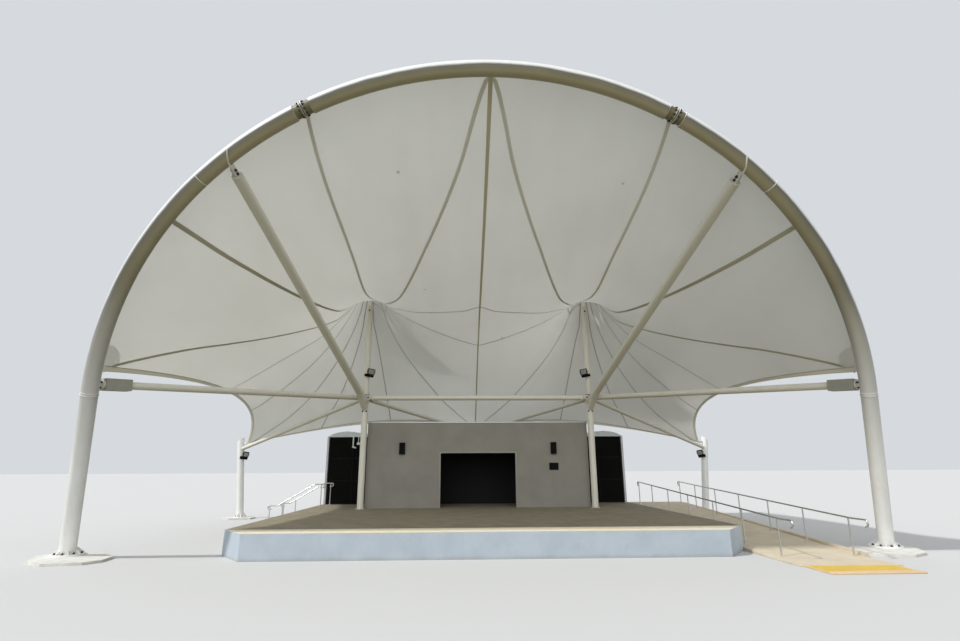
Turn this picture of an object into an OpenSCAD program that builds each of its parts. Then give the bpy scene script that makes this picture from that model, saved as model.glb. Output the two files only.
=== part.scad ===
// Bandstand: steel arch and two masts carrying a double cone fabric canopy
// over a concrete stage with a backstage room. Millimetres, Z up, front at -Y.
// Origin: ground level, centre plane, line of the two masts.

/* [Arch] */
// Centre plane to the centre of each arch foot
arch_foot_half = 10640; // [8000:10:14000]
// Diameter of the arch tube
arch_tube_d = 375; // [200:5:600]
// Inward tilt of the straight legs, degrees
arch_leg_tilt = 11.34; // [0:0.1:20]
// Length of each straight leg in the arch plane
arch_leg_len = 4354; // [2000:10:7000]
// Radius of the side curves
arch_side_r = 9425; // [6000:10:14000]
// Half angle of the crown curve, degrees
arch_crown_half = 42.14; // [20:0.5:60]
// Forward lean of the whole arch, degrees
arch_lean = 21.3; // [0:0.1:35]
// Distance of the arch feet in front of the masts
arch_foot_front = 7170; // [3000:10:10000]
// Half angle on the crown curve at which the splices sit
splice_half = 25.6; // [10:0.1:40]
// Height at which the side seams meet the arch
seam_foot_z = 7900; // [5000:10:9500]

/* [Masts] */
// Centre plane to mast centre
mast_half = 4600; // [3000:10:6000]
// Diameter of the masts
mast_d = 250; // [150:5:400]
// Height of the main mast tube above ground
mast_top = 8800; // [6000:10:10000]
// Height of the strut joint above ground
joint_z = 4920; // [3000:10:6000]
// Diameter of the telescoping neck
neck_d = 170; // [100:5:240]

/* [Canopy] */
// Height of the cone rings above ground
ring_z = 9350; // [8900:10:11500]
// Diameter of the cone rings
ring_d = 900; // [600:10:2000]
// Thickness of the modelled fabric skin
skin_t = 14; // [4:1:40]
// Reach of the fabric pull across the stage against front to back
pull_across = 0.7; // [0.4:0.05:2]
// How the pull grows (above 0) or fades (below 0) away from the rings
pull_growth = -0.35; // [-1.5:0.05:1.5]
// Relaxing rounds for the fabric shape
rounds = 110; // [20:10:300]

/* [Stage] */
// Height of the stage above ground
stage_h = 623; // [300:1:1200]
// Half width of the stage
stage_half = 6800; // [4000:10:9000]
// Half width of the front edge between the cut corners
stage_front_half = 6010; // [3000:10:8800]
// Distance of the front edge in front of the masts
stage_front = 8120; // [5000:10:11000]
// Depth of the cut corners
stage_cut = 1000; // [0:10:2500]
// Distance of the rear edge behind the masts
stage_rear = 3260; // [2000:10:6000]

/* [Backstage room] */
// Half width of the room
room_half = 4490; // [3000:10:6000]
// Front face of the room behind the mast line
room_front = 276; // [150:1:1500]
// Rear face of the room behind the mast line
room_rear = 3060; // [2000:10:5000]
// Height of the front wall above ground
room_top = 3960; // [3000:10:5000]
// Thickness of the walls
wall_t = 200; // [100:10:400]
// Half width of the stage opening
door_half = 1513; // [600:1:3000]
// Height of the opening above the stage
door_h = 2100; // [1800:10:3000]

/* [Hidden] */
$fn = 48;

// Running clearance between neighbouring pieces
gap = 0.3;
far = 30000;

// Arch geometry in its own plane: u across, v up the slope
leg_u = arch_foot_half - sin(arch_leg_tilt) * arch_leg_len;
leg_v = cos(arch_leg_tilt) * arch_leg_len;
side_u = leg_u - cos(arch_leg_tilt) * arch_side_r;
side_v = leg_v - sin(arch_leg_tilt) * arch_side_r;
side_end = 90 - arch_crown_half;
join_u = side_u + arch_side_r * cos(side_end);
join_v = side_v + arch_side_r * sin(side_end);
crown_r = join_u / sin(arch_crown_half);
crown_v = join_v - crown_r * cos(arch_crown_half);

// Weld collar below the top of each straight leg
collar_z = 60;
leg_under = 400;
pad_h = 60;
plate_t = 40;
base_z = pad_h + plate_t;
base_plate_d = 780;
pad_w = 1350;

// Half angle taken by each splice on the crown curve
splice_span = 1.25;
flange_span = 0.5;

strut_d = 200;
rake_d = 280;
beam_d = 200;
rear_strut_d = 160;
sleeve_d = 310;
sleeve_h = 460;

// Neck above the ring, cap and finial rod
neck_up = 220;
ring_bar = 60;
cap_h = 420;
finial_h = 880;

post_x0 = 10600;
post_x1 = 10930;
post_y = 3750;
post_top = 3560;
post_d = 300;
head_tilt = 35;
rear_y = 5480;
rear_top = 4080;
rear_d = 260;
rear_strut_z = post_top - 540;

rail_d = 42;
rail_post_d = 36;
elbow_t = 2;
elbow_in = 8;
sleeve_len = 60;
sleeve_t = 3;
butt_gap = 4;
rail_h = 900;
ramp_x0 = stage_half + gap;
ramp_x1 = 9130;
ramp_top_y = 2600;
ramp_end_y = -8400;
kerb_w = 120;
kerb_h = 90;
step_n = 4;
step_go = 330;
step_y0 = 1150;
step_y1 = 2700;

// A point of the arch plane in the frame of the whole piece
function arch_at(u, v) = [u, -arch_foot_front - v * sin(arch_lean), v * cos(arch_lean)];
function arch_side_pt(a, s) = arch_at(s * (side_u + arch_side_r * cos(a)),
    side_v + arch_side_r * sin(a));
function arch_crown_pt(a) = arch_at(crown_r * sin(a), crown_v + crown_r * cos(a));

// Where the struts meet the arch
side_strut_z = 4170;
side_strut_a = asin((side_strut_z / cos(arch_lean) - side_v) / arch_side_r);
rake_z = 9250;
rake_a = acos((rake_z / cos(arch_lean) - crown_v) / crown_r);

module arch_frame() {
    translate([0, -arch_foot_front, 0]) rotate([90 + arch_lean, 0, 0]) children();
}

module bar(a, b, d) {
    v = b - a;
    translate(a) rotate([0, acos(v[2] / norm(v)), atan2(v[1], v[0])])
        cylinder(h = norm(v), d = d);
}

module ball(p, d) {
    translate(p) sphere(d = d);
}

module both() {
    children();
    mirror([1, 0, 0]) children();
}

// Tube of the arch from its foot to the splice, right hand side, in three welded
// lengths that butt with the running clearance
module arch_half_tube(d, a_end) {
    side_slit = gap / arch_side_r * 180 / PI;
    crown_slit = gap / crown_r * 180 / PI;
    arch_frame() {
        arch_leg() cylinder(h = arch_leg_len + leg_under, d = d);
        translate([side_u, side_v, 0]) rotate([0, 0, arch_leg_tilt + side_slit])
            rotate_extrude(angle = side_end - arch_leg_tilt - side_slit, $fn = 160)
            translate([arch_side_r, 0]) circle(d = d);
        translate([0, crown_v, 0]) rotate([0, 0, side_end + crown_slit])
            rotate_extrude(angle = 90 - a_end - side_end - crown_slit, $fn = 160)
            translate([crown_r, 0]) circle(d = d);
    }
}

// Start of a straight leg, below the base plate, with Z up along the leg
module arch_leg() {
    translate([arch_foot_half, 0, 0]) rotate([-90, 0, arch_leg_tilt])
        translate([0, 0, -leg_under]) children();
}

module arch_half() {
    color("white") difference() {
        union() {
            arch_half_tube(arch_tube_d, splice_half + splice_span);
            arch_frame() arch_leg() translate([0, 0, leg_under + arch_leg_len - collar_z - 24])
                cylinder(h = 24, d = arch_tube_d + 24);
        }
        translate([0, -far / 2, base_z - far]) cube([far, far, far]);
    }
}

module arch_left() {
    mirror([1, 0, 0]) arch_half();
}

module arch_right() {
    arch_half();
}

module arch_crown() {
    color("white") arch_frame() translate([0, crown_v, 0])
        rotate([0, 0, 90 - splice_half + splice_span])
        rotate_extrude(angle = 2 * (splice_half - splice_span), $fn = 160)
        translate([crown_r, 0]) circle(d = arch_tube_d);
}

// Bolted splice: a slimmer core between two end flanges
module arch_ring(a0, a1, d) {
    arch_frame() translate([0, crown_v, 0]) rotate([0, 0, 90 - a1])
        rotate_extrude(angle = a1 - a0, $fn = 160) translate([crown_r, 0]) circle(d = d);
}

module arch_splice() {
    slit = gap / crown_r * 180 / PI;
    a0 = splice_half - splice_span + slit;
    a1 = splice_half + splice_span - slit;
    color("gainsboro") {
        arch_ring(a0, a1, arch_tube_d * 0.7);
        arch_ring(a0, a0 + flange_span, arch_tube_d + 36);
        arch_ring(a1 - flange_span, a1, arch_tube_d + 36);
    }
}

module arch_splices() {
    both() arch_splice();
}

module arch_bases() {
    color("white") both() translate([arch_foot_half, -arch_foot_front, pad_h])
        translate([-base_z * tan(arch_leg_tilt), 0, 0]) {
            cylinder(h = plate_t - gap, d = base_plate_d);
        }
}

module arch_pads() {
    color("whitesmoke") both()
        translate([arch_foot_half, -arch_foot_front, 0])
        linear_extrude(pad_h - gap) polygon(pad_w * [[-0.96, -0.19], [-1.02, -0.59],
            [-0.85, -0.87], [-0.22, -0.985], [0.185, -0.74], [0.385, -0.355],
            [0.52, -0.045], [0.415, 0.28], [-0.045, 0.35], [-0.52, 0.245]]);
}

module mast() {
    color("white") {
        translate([mast_half, 0, stage_h + gap]) cylinder(h = 24, d = mast_d + 90);
        translate([mast_half, 0, stage_h + gap]) cylinder(h = mast_top - stage_h - gap, d = mast_d);
        translate([mast_half, 0, joint_z - sleeve_h / 2]) cylinder(h = sleeve_h, d = sleeve_d);
    }
}

module mast_left() {
    mirror([1, 0, 0]) mast();
}

module mast_right() {
    mast();
}

// Largest radius that stays inside the upper rim of the fabric
function rim_clear(g) = min([for (j = [0:n_all - 1]) let (
    a = under_pt(g, 0, j) - [mast_half, 0, 0], b = under_pt(g, 0, (j + 1) % n_all) - [mast_half, 0, 0])
    abs(a[0] * b[1] - a[1] * b[0]) / norm([b[0] - a[0], b[1] - a[1]])]) - gap;

// Neck, spokes and ring that lift the top of one cone
module cone_ring() {
    r = rim_clear(fabric_net());
    color("white") translate([mast_half, 0, 0]) {
        translate([0, 0, mast_top + gap]) cylinder(h = ring_z + neck_up - mast_top - gap, d = neck_d);
        translate([0, 0, ring_z]) rotate_extrude() translate([r - ring_bar / 2, 0])
            circle(d = ring_bar);
        for (k = [0:3]) rotate([0, 0, 45 + 90 * k])
            bar([neck_d / 2 - 20, 0, ring_z + neck_up - 80], [r - ring_bar / 2, 0, ring_z], 46);
    }
}

module cone_ring_left() {
    mirror([1, 0, 0]) cone_ring();
}

module cone_ring_right() {
    cone_ring();
}

// Weather cap above the ring with its finial rod
module cone_caps() {
    color("white") both() translate([mast_half, 0, ring_z + neck_up + gap]) {
        difference() {
            cylinder(h = cap_h, d1 = ring_d * 0.82, d2 = 110);
            translate([0, 0, -1]) cylinder(h = cap_h - 50, d1 = ring_d * 0.82 - 40, d2 = 60);
        }
        cylinder(h = cap_h + finial_h, d = 60);
    }
}

module cross_beam() {
    color("white") difference() {
        union() {
            rotate([0, 90, 0]) translate([-joint_z, 0, -mast_half])
                cylinder(h = 2 * mast_half, d = beam_d);
            for (s = [-1, 1]) translate([s * (mast_half - sleeve_d / 2 - 150), 0, joint_z])
                rotate([0, 90, 0]) cylinder(h = 50, d = beam_d + 110, center = true);
        }
        for (s = [-1, 1]) translate([s * mast_half, 0, joint_z - 1000])
            cylinder(h = 2000, d = sleeve_d + 2 * gap);
    }
}

module side_strut() {
    a = arch_side_pt(side_strut_a, 1);
    b = [mast_half, 0, joint_z];
    u = (b - a) / norm(b - a);
    start = a + u * 250;
    color("white") difference() {
        union() {
            bar(start, b, strut_d);
            bar(start, start + u * 20, strut_d + 60);
            translate(a) rotate([0, 0, atan2(u[1], u[0])]) translate([100, -12, -110])
                cube([155, 24, 220]);
        }
        arch_half_tube(arch_tube_d + 2 * gap, splice_half);
        translate([mast_half, 0, joint_z - 1000]) cylinder(h = 2000, d = sleeve_d + 2 * gap);
    }
}

module side_struts() {
    both() side_strut();
}

module raking_strut() {
    a = arch_crown_pt(rake_a);
    b = [mast_half, 0, joint_z - 190];
    u = (b - a) / norm(b - a);
    start = a + u * 520;
    color("white") difference() {
        union() {
            bar(start, b, rake_d);
            translate(a) rotate([0, 0, atan2(u[1], u[0])]) rotate([0, acos(u[2]), 0])
                translate([-90, -15, arch_tube_d / 2 + 2 * gap]) cube([180, 30, 440]);
        }
        translate([mast_half, 0, joint_z - 1000]) cylinder(h = 2000, d = sleeve_d + 2 * gap);
        bar_side_cut();
    }
}

// Room kept clear round the side strut where the raking strut ends below it
module bar_side_cut() {
    a = arch_side_pt(side_strut_a, 1);
    b = [mast_half, 0, joint_z];
    bar(a, b, strut_d + 2 * gap);
}

module raking_struts() {
    both() raking_strut();
}

module rear_struts() {
    color("white") both() {
        difference() {
            bar([mast_half, 0, joint_z], [post_x1 - 60, post_y, rear_strut_z], rear_strut_d);
            translate([mast_half, 0, joint_z - 1000]) cylinder(h = 2000, d = sleeve_d + 2 * gap);
            bar_side_cut();
            corner_post(post_d + 2 * gap);
        }
        difference() {
            bar([mast_half, 0, joint_z - 40], [0, rear_y, rear_top - 200], rear_strut_d);
            translate([mast_half, 0, joint_z - 1000]) cylinder(h = 2000, d = sleeve_d + 2 * gap);
            translate([0, rear_y, 0]) cylinder(h = 5000, d = rear_d + 2 * gap);
            bar([mast_half, 0, joint_z], [post_x1 - 60, post_y, rear_strut_z],
                rear_strut_d + 2 * gap);
            translate([-far, -far / 2, 0]) cube([far, far, far]);
        }
    }
}

module corner_post(d) {
    difference() {
        bar([post_x0 - 10, post_y, 0], [post_x1 + 10, post_y, post_top + 100], d);
        translate([0, 0, base_z - far]) cube([far, far, far]);
        translate([post_x1 - post_d / 2, post_y, post_top]) rotate([0, head_tilt, 0])
            translate([-far / 2, -far / 2, 0]) cube(far);
    }
}

module corner_posts() {
    color("white") both() {
        corner_post(post_d);
        translate([post_x0, post_y, pad_h + gap]) cylinder(h = plate_t, d = post_d + 240);
    }
}

module rear_post() {
    color("white") translate([0, rear_y, pad_h + gap]) {
        cylinder(h = rear_top - pad_h, d = rear_d);
        cylinder(h = plate_t, d = rear_d + 220);
    }
}

module post_pads() {
    color("whitesmoke") {
        both() translate([post_x0, post_y - 100, 0])
            linear_extrude(pad_h) polygon([[-620, -330], [300, -480], [640, -100],
                [520, 420], [-300, 520], [-660, 200]]);
        translate([-500, rear_y - 450, 0]) cube([1000, 1000, pad_h]);
    }
}

module strut_box() {
    a = arch_side_pt(side_strut_a, 1);
    b = [mast_half, 0, joint_z];
    u = (b - a) / norm(b - a);
    color("lightgray") difference() {
        translate(a + u * 275) rotate([0, 0, atan2(u[1], u[0])])
            rotate([0, -asin(u[2]), 0]) translate([0, -150, -145]) cube([630, 300, 290]);
        bar(a, b, strut_d + 2 * gap);
    }
}

module strut_boxes() {
    both() strut_box();
}

module floodlights() {
    color("black") both() {
        translate([mast_half - mast_d / 2 - 140 - gap, -120, 5850]) cube([140, 240, 300]);
        difference() {
            translate([post_x1 - 470, post_y - 130, 2600]) cube([400, 260, 250]);
            corner_post(post_d + 2 * gap);
        }
    }
}

// Fabric outline, right hand half
front_corner_z = 4500;
rear_corner = [10580, 3600, 3270];
rear_mid = [0, 5200, 4120];
side_sag = [-560, 2200, 1000];
rear_sag = [-800, -900, 500];
n_arch_a = 6;
n_arch_b = 11;
n_arch = 16;
n_side = 11;
n_rear = 9;
n_seam_rear = 6;
n_seam_front = 8;
n_rad = 14;
first_seam = n_arch + n_side + n_rear;
n_all = first_seam + n_seam_rear + n_seam_front;

function unit(v) = v / norm(v);
function curve(a, b, s, t) = a + (b - a) * t + s * (4 * t * (1 - t));
function bezier(p, t) = p[0] * pow(1 - t, 3) + p[1] * 3 * t * pow(1 - t, 2)
    + p[2] * 3 * t * t * (1 - t) + p[3] * pow(t, 3);

// Way along the arch from the crown, in millimetres of its centre line
function side_way(z) = (side_end - asin((z / cos(arch_lean) - side_v) / arch_side_r))
    * arch_side_r * PI / 180 + crown_way;
crown_way = arch_crown_half * crown_r * PI / 180;
way_a = splice_half * crown_r * PI / 180;
way_b = side_way(seam_foot_z);
way_c = side_way(front_corner_z);
function arch_way(s) = s < crown_way ? arch_crown_pt(s / crown_r * 180 / PI)
    : arch_side_pt(side_end - (s - crown_way) / arch_side_r * 180 / PI, 1);

// The hem lies against the arch tube on the side facing the cone
hem_off = arch_tube_d / 2 + gap + 0.2;
function seat_in(p) = p + hem_off * unit([mast_half, 0, 9000] - p);
function arch_hem(j) = let (s = j <= n_arch_a ? way_a * j / n_arch_a
        : j <= n_arch_b ? way_a + (way_b - way_a) * (j - n_arch_a) / (n_arch_b - n_arch_a)
        : way_b + (way_c - way_b) * (j - n_arch_b) / (n_arch - n_arch_b),
    p = seat_in(arch_way(s))) j == 0 ? [0, p[1], p[2]] : p;

// First guess for the centre seam; it lies on the plane of symmetry and its
// heights settle with the rest of the net
saddle = [0, -1400, 8000];
seam_rear = [rear_mid, rear_mid + [0, -200, 700], saddle + [0, 1400, 200], saddle];
seam_front = [saddle, saddle + [0, -3200, -200], arch_hem(0) + [0, 500, -2200], arch_hem(0)];

// Outline in order: arch, side edge, rear edge, centre seam
function outline(j) = j < n_arch ? arch_hem(j)
    : j < n_arch + n_side ? curve(arch_hem(n_arch), rear_corner, side_sag, (j - n_arch) / n_side)
    : j < first_seam ? curve(rear_corner, rear_mid, rear_sag, (j - n_arch - n_side) / n_rear)
    : j < first_seam + n_seam_rear ? bezier(seam_rear, (j - first_seam) / n_seam_rear)
    : bezier(seam_front, (j - first_seam - n_seam_rear) / n_seam_front);

function rim_pt(p) = let (a = atan2(p[1], p[0] - mast_half))
    [mast_half + ring_d / 2 * cos(a), ring_d / 2 * sin(a), ring_z];
grow = ln(9);
function spread(i) = (exp(grow * i / n_rad) - 1) / (exp(grow) - 1);

// Pull on the side of a triangle that lies opposite corner o, seen in plan
function flat_of(p) = [mast_half + (p[0] - mast_half) / pull_across, p[1], 0];
function pull_at(o, a, b) = let (u = flat_of(a) - flat_of(o), v = flat_of(b) - flat_of(o),
    m = (o + a + b) / 3)
    (u * v) / norm(cross(u, v)) * pow(norm([m[0] - mast_half, m[1]]) / 3000, pull_growth);

// The fabric net: fixed in plan, its heights swing in until all pulls balance
function fabric_net() = let (
    edge = [for (j = [0:n_all - 1]) outline(j)],
    rim = [for (p = edge) rim_pt(p)],
    net = [for (i = [0:n_rad]) [for (j = [0:n_all - 1]) let (p = rim[j], d = edge[j] - p,
        s = spread(i)) [p[0] + d[0] * s, p[1] + d[1] * s, p[2] + d[2] * i / n_rad]]],
    cell = [for (i = [0:n_rad - 1]) [for (j = [0:n_all - 1]) let (k = (j + 1) % n_all,
        a = net[i][j], b = net[i][k], c = net[i + 1][k], d = net[i + 1][j])
        [pull_at(a, b, c), pull_at(b, c, a), pull_at(c, a, b),
            pull_at(a, c, d), pull_at(c, d, a), pull_at(d, a, c)]]],
    out = [for (i = [0:n_rad]) [for (j = [0:n_all - 1])
        i == n_rad ? 0 : cell[i][(j + n_all - 1) % n_all][0] + cell[i][j][4]]],
    wide = [for (i = [0:n_rad]) [for (j = [0:n_all - 1])
        (i == n_rad ? 0 : cell[i][j][2]) + (i == 0 ? 0 : cell[i - 1][j][3])]],
    slant = [for (i = [0:n_rad]) [for (j = [0:n_all - 1])
        i == n_rad ? 0 : cell[i][j][1] + cell[i][j][5]]],
    z = [for (row = net) [for (p = row) p[2]]],
    s = settle(z, z, out, wide, slant, rounds))
    [for (i = [0:n_rad]) [for (j = [0:n_all - 1]) [net[i][j][0], net[i][j][1], s[i][j]]]];

// One round: ease towards the balance of the six neighbours, keep some of the swing
ease = 0.6;
swing = 0.92;
function settle(z, y, out, wide, slant, n) = n == 0 ? z
    : settle([for (i = [0:n_rad]) i == 0 ? z[0] : settle_row(z, y, out, wide, slant, i)],
        z, out, wide, slant, n - 1);

function settle_row(z, y, out, wide, slant, i) = let (e = min(i + 1, n_rad))
    [for (j = [0:n_all - 1]) let (c = z[i][j]) i == n_rad && j <= first_seam ? c
        : let (l = (j + n_all - 1) % n_all, r = (j + 1) % n_all,
            a = out[i - 1][j], b = out[i][j], d = wide[i][j], f = wide[i][l],
            g = slant[i][j], h = slant[i - 1][l],
            m = (a * z[i - 1][j] + b * z[e][j] + d * z[i][r] + f * z[i][l]
                + g * z[e][r] + h * z[i - 1][l]) / (a + b + d + f + g + h))
            c + ease * (m - c) + swing * (c - y[i][j])];

function normal_at(g, i, j) = let (
    a = g[max(i - 1, 0)][j], b = g[min(i + 1, n_rad)][j],
    c = g[i][(j + n_all - 1) % n_all], d = g[i][(j + 1) % n_all],
    n = unit(cross(b - a, d - c))) n[2] < 0 ? -n : n;

// Points on the centre plane stay clear of their mirror image
function clear_mid(p) = p[0] < 30 ? [gap, p[1], p[2]] : p;
function under_pt(g, i, j) = g[i][j] - normal_at(g, i, j) * skin_t;

// One fabric panel between two spoke lines of the net, as a closed skin
module panel(j0, j1) {
    g = fabric_net();
    m = j1 - j0;
    cols = m + 1;
    at = [for (i = [0:n_rad]) for (k = [0:m]) let (j = (j0 + k) % n_all, p = g[i][j],
        q = k == 0 ? g[i][(j + 1) % n_all] : k == m ? g[i][(j + n_all - 1) % n_all] : p)
        k == 0 || k == m ? unit(q - p) * gap : [0, 0, 0]];
    top = [for (i = [0:n_rad]) for (k = [0:m])
        clear_mid(g[i][(j0 + k) % n_all] + at[i * cols + k])];
    under = [for (i = [0:n_rad]) for (k = [0:m])
        clear_mid(under_pt(g, i, (j0 + k) % n_all) + at[i * cols + k])];
    n = (n_rad + 1) * cols;
    quads = [for (i = [0:n_rad - 1]) for (k = [0:m - 1])
        [i * cols + k, i * cols + k + 1, (i + 1) * cols + k + 1, (i + 1) * cols + k]];
    tri_top = [for (q = quads) each [[q[0], q[1], q[2]], [q[0], q[2], q[3]]]];
    tri_under = [for (q = quads) each [[n + q[0], n + q[2], n + q[1]],
        [n + q[0], n + q[3], n + q[2]]]];
    rim = concat([for (k = [0:m]) k], [for (i = [1:n_rad]) i * cols + m],
        [for (k = [1:m]) n_rad * cols + m - k], [for (i = [1:n_rad - 1]) (n_rad - i) * cols]);
    r = len(rim);
    tri_rim = [for (k = [0:r - 1]) let (a = rim[k], b = rim[(k + 1) % r])
        each [[a, n + a, n + b], [a, n + b, b]]];
    polyhedron(points = concat(top, under), faces = concat(tri_top, tri_under, tri_rim));
}

j_front = n_arch - 3;
j_side = n_arch + n_side;
j_seam = first_seam + n_seam_rear;

module canopy_front() {
    color("ivory") panel(j_seam, n_all + j_front);
}

module canopy_side() {
    color("ivory") panel(j_front, j_side - 3);
}

module canopy_rear() {
    color("ivory") panel(j_side - 3, j_seam);
}

module canopy_front_left() {
    mirror([1, 0, 0]) canopy_front();
}

module canopy_front_right() {
    canopy_front();
}

module canopy_side_left() {
    mirror([1, 0, 0]) canopy_side();
}

module canopy_side_right() {
    canopy_side();
}

module canopy_rear_left() {
    mirror([1, 0, 0]) canopy_rear();
}

module canopy_rear_right() {
    canopy_rear();
}

// A short rod from the edge of the fabric at column j towards point b
module corner_rod(g, j, b, d) {
    top = g[n_rad][j];
    low = under_pt(g, n_rad, j);
    u = unit(b - top);
    reach = max(0, (low - top) * u) + gap;
    bar(top + u * reach, b, d);
}

module corner_plates() {
    g = fabric_net();
    color("silver") {
        both() difference() {
            corner_rod(g, j_side, [post_x1 - 20, post_y, post_top - 240], 60);
            corner_post(post_d + 2 * gap);
        }
        difference() {
            corner_rod(g, first_seam, [0, rear_y, rear_top - 60], 60);
            translate([0, rear_y, 0]) cylinder(h = 5000, d = rear_d + 2 * gap);
        }
    }
}

module stage() {
    color("lightsteelblue") linear_extrude(stage_h) polygon([
        [-stage_front_half, -stage_front], [stage_front_half, -stage_front],
        [stage_half, -stage_front + stage_cut], [stage_half, stage_rear],
        [-stage_half, stage_rear], [-stage_half, -stage_front + stage_cut]]);
}

wall_z = stage_h + gap;

module room_front_left() {
    color("dimgray") translate([-room_half, room_front, wall_z])
        cube([room_half - door_half, wall_t, room_top - wall_z]);
}

module room_front_right() {
    color("dimgray") translate([door_half, room_front, wall_z])
        cube([room_half - door_half, wall_t, room_top - wall_z]);
}

module room_lintel() {
    color("dimgray") translate([-door_half + gap, room_front, stage_h + door_h])
        cube([2 * (door_half - gap), wall_t, room_top - stage_h - door_h]);
}

roof_t = 150;
roof_z = room_top - 110 - roof_t;

module room_side_walls() {
    color("dimgray") both() translate([room_half - wall_t, room_front + wall_t + gap, wall_z])
        cube([wall_t, room_rear - room_front - wall_t - gap, roof_z - wall_z]);
}

module room_rear_wall() {
    color("dimgray") translate([-room_half + wall_t + gap, room_rear - wall_t, wall_z])
        cube([2 * (room_half - wall_t - gap), wall_t, roof_z - wall_z]);
}

module room_roof() {
    color("gray") translate([-room_half, room_front + wall_t + gap, roof_z + gap])
        cube([2 * room_half, room_rear - room_front - wall_t - gap, roof_t]);
}

module room_backdrop() {
    color("black") translate([-room_half + wall_t + 60, room_rear - wall_t - 60 - gap, wall_z])
        cube([2 * (room_half - wall_t - 60), 60, 2700]);
}

wing_top = 3520;
wing_edge = 110;
wing_half = stage_half - wing_edge;

module wing_screens() {
    color("black") both() translate([room_half + gap, room_rear - 80, wall_z])
        cube([wing_half - 60 - 2 * gap - room_half, 50, wing_top - wall_z]);
}

module wing_posts() {
    color("lightgray") both() translate([wing_half, room_rear - 55, wall_z])
        cylinder(h = wing_top - wall_z, d = 120);
}

// Low hipped cover over each wing, flat below
module wing_awnings() {
    color("lightcyan") both() translate([0, room_rear - 110, wing_top + gap])
        rotate([90, 0, 0]) translate([0, 0, -1500]) linear_extrude(1500)
        polygon([[room_half + gap, 0], [wing_half + 60, 0], [wing_half - 130, 110],
            [wing_half - 380, 195], [wing_half - 700, 240], [wing_half - 950, 240],
            [wing_half - 1500, 170], [room_half + gap, 90]]);
}

module wall_lights() {
    color("black") both() translate([2960, room_front - 130 - gap, 2680])
        cube([220, 130, 460]);
}

module wall_plaque() {
    color("black") translate([2890, room_front - 20 - gap, 2060])
        cube([350, 20, 260]);
}

module steps() {
    rise = stage_h / step_n;
    color("silver") translate([-stage_half - gap, 0, 0])
        rotate([90, 0, 0]) translate([0, 0, -step_y1]) linear_extrude(step_y1 - step_y0)
        polygon(concat([[0, 0], [0, stage_h - rise]],
            [for (s = [1:step_n - 1]) each [[-step_go * s, stage_h - rise * s],
                [-step_go * s, stage_h - rise * (s + 1)]]]));
}

// Bent tube through flat points p (x, y): an elbow of radius r at each corner, or a
// sleeve where it hardly turns
function heading(a, b) = atan2(b[1] - a[1], b[0] - a[0]);
function turn(p, k) = let (t = heading(p[k], p[k + 1]) - heading(p[k - 1], p[k]))
    t > 180 ? t - 360 : t < -180 ? t + 360 : t;
function trim(p, k, r) = r * tan(abs(turn(p, k)) / 2);
function slight(p, k) = abs(turn(p, k)) < 10;
function back_off(p, k, r) = k == 0 || k == len(p) - 1 ? 0
    : slight(p, k) ? butt_gap : trim(p, k, r) - elbow_in;

module bent_tube(p, r, d) {
    last = len(p) - 1;
    for (k = [0:last - 1]) let (h = heading(p[k], p[k + 1]), a = back_off(p, k, r),
        b = back_off(p, k + 1, r))
        translate([p[k][0], p[k][1], 0]) rotate([0, 0, h]) translate([a, 0, 0])
            rotate([0, 90, 0]) cylinder(h = norm(p[k + 1] - p[k]) - a - b, d = d);
    for (k = [1:last - 1]) let (h = heading(p[k - 1], p[k]), t = turn(p, k), s = sign(t))
        translate([p[k][0], p[k][1], 0]) rotate([0, 0, h])
        if (slight(p, k)) rotate([0, 0, t / 2]) translate([-sleeve_len / 2, 0, 0])
            rotate([0, 90, 0]) cylinder(h = sleeve_len, d = d + 2 * sleeve_t);
        else translate([-trim(p, k, r), s * r, 0]) rotate([0, 0, s > 0 ? -90 : 90 + t])
            rotate_extrude(angle = abs(t)) translate([r, 0]) circle(d = d + 2 * elbow_t);
}

module rail_post(x, y, z0, z1) {
    translate([x, y, z0]) cylinder(h = z1 - z0, d = rail_post_d);
}

module step_rail(y) {
    x0 = -stage_half + 500;
    x1 = x0 - 380;
    x2 = x1 - 1440;
    x3 = x2 - 380;
    z0 = stage_h + rail_h;
    z3 = rail_h - 200;
    loop = 130;
    translate([0, y, 0]) rotate([90, 0, 0])
        bent_tube([[x0 - 150, z0 - loop], [x0, z0 - loop], [x0, z0], [x1, z0], [x2, z3],
            [x3, z3], [x3, z3 - loop], [x3 + 150, z3 - loop]], 55, rail_d);
    rail_post(x0 - 110, y, wall_z, z0);
    rail_post(x2 + 240, y, 0, z3 + (z0 - z3) * 240 / 1440);
    rail_post(x3 + 70, y, 0, z3);
}

module step_rails() {
    color("silver") {
        step_rail(step_y0 - 40);
        step_rail(step_y1 + 40);
    }
}

ramp_run = ramp_top_y - ramp_end_y;
function ramp_z(y) = y > ramp_top_y ? stage_h : max(0, stage_h * (y - ramp_end_y) / ramp_run);

module ramp() {
    color("tan") {
        translate([ramp_x0, 0, 0]) rotate([90, 0, 90]) linear_extrude(ramp_x1 - ramp_x0)
            polygon([[stage_rear, 0], [stage_rear, stage_h], [ramp_top_y, stage_h],
                [ramp_end_y - 1, 20], [ramp_end_y - 1200, 20], [ramp_end_y - 1200, 0]]);
        translate([ramp_x1, 0, 0]) rotate([90, 0, 90]) linear_extrude(kerb_w)
            polygon([[stage_rear, 0], [stage_rear, stage_h], [ramp_top_y, stage_h],
                [ramp_end_y, kerb_h], [ramp_end_y, 0]]);
    }
}

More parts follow.
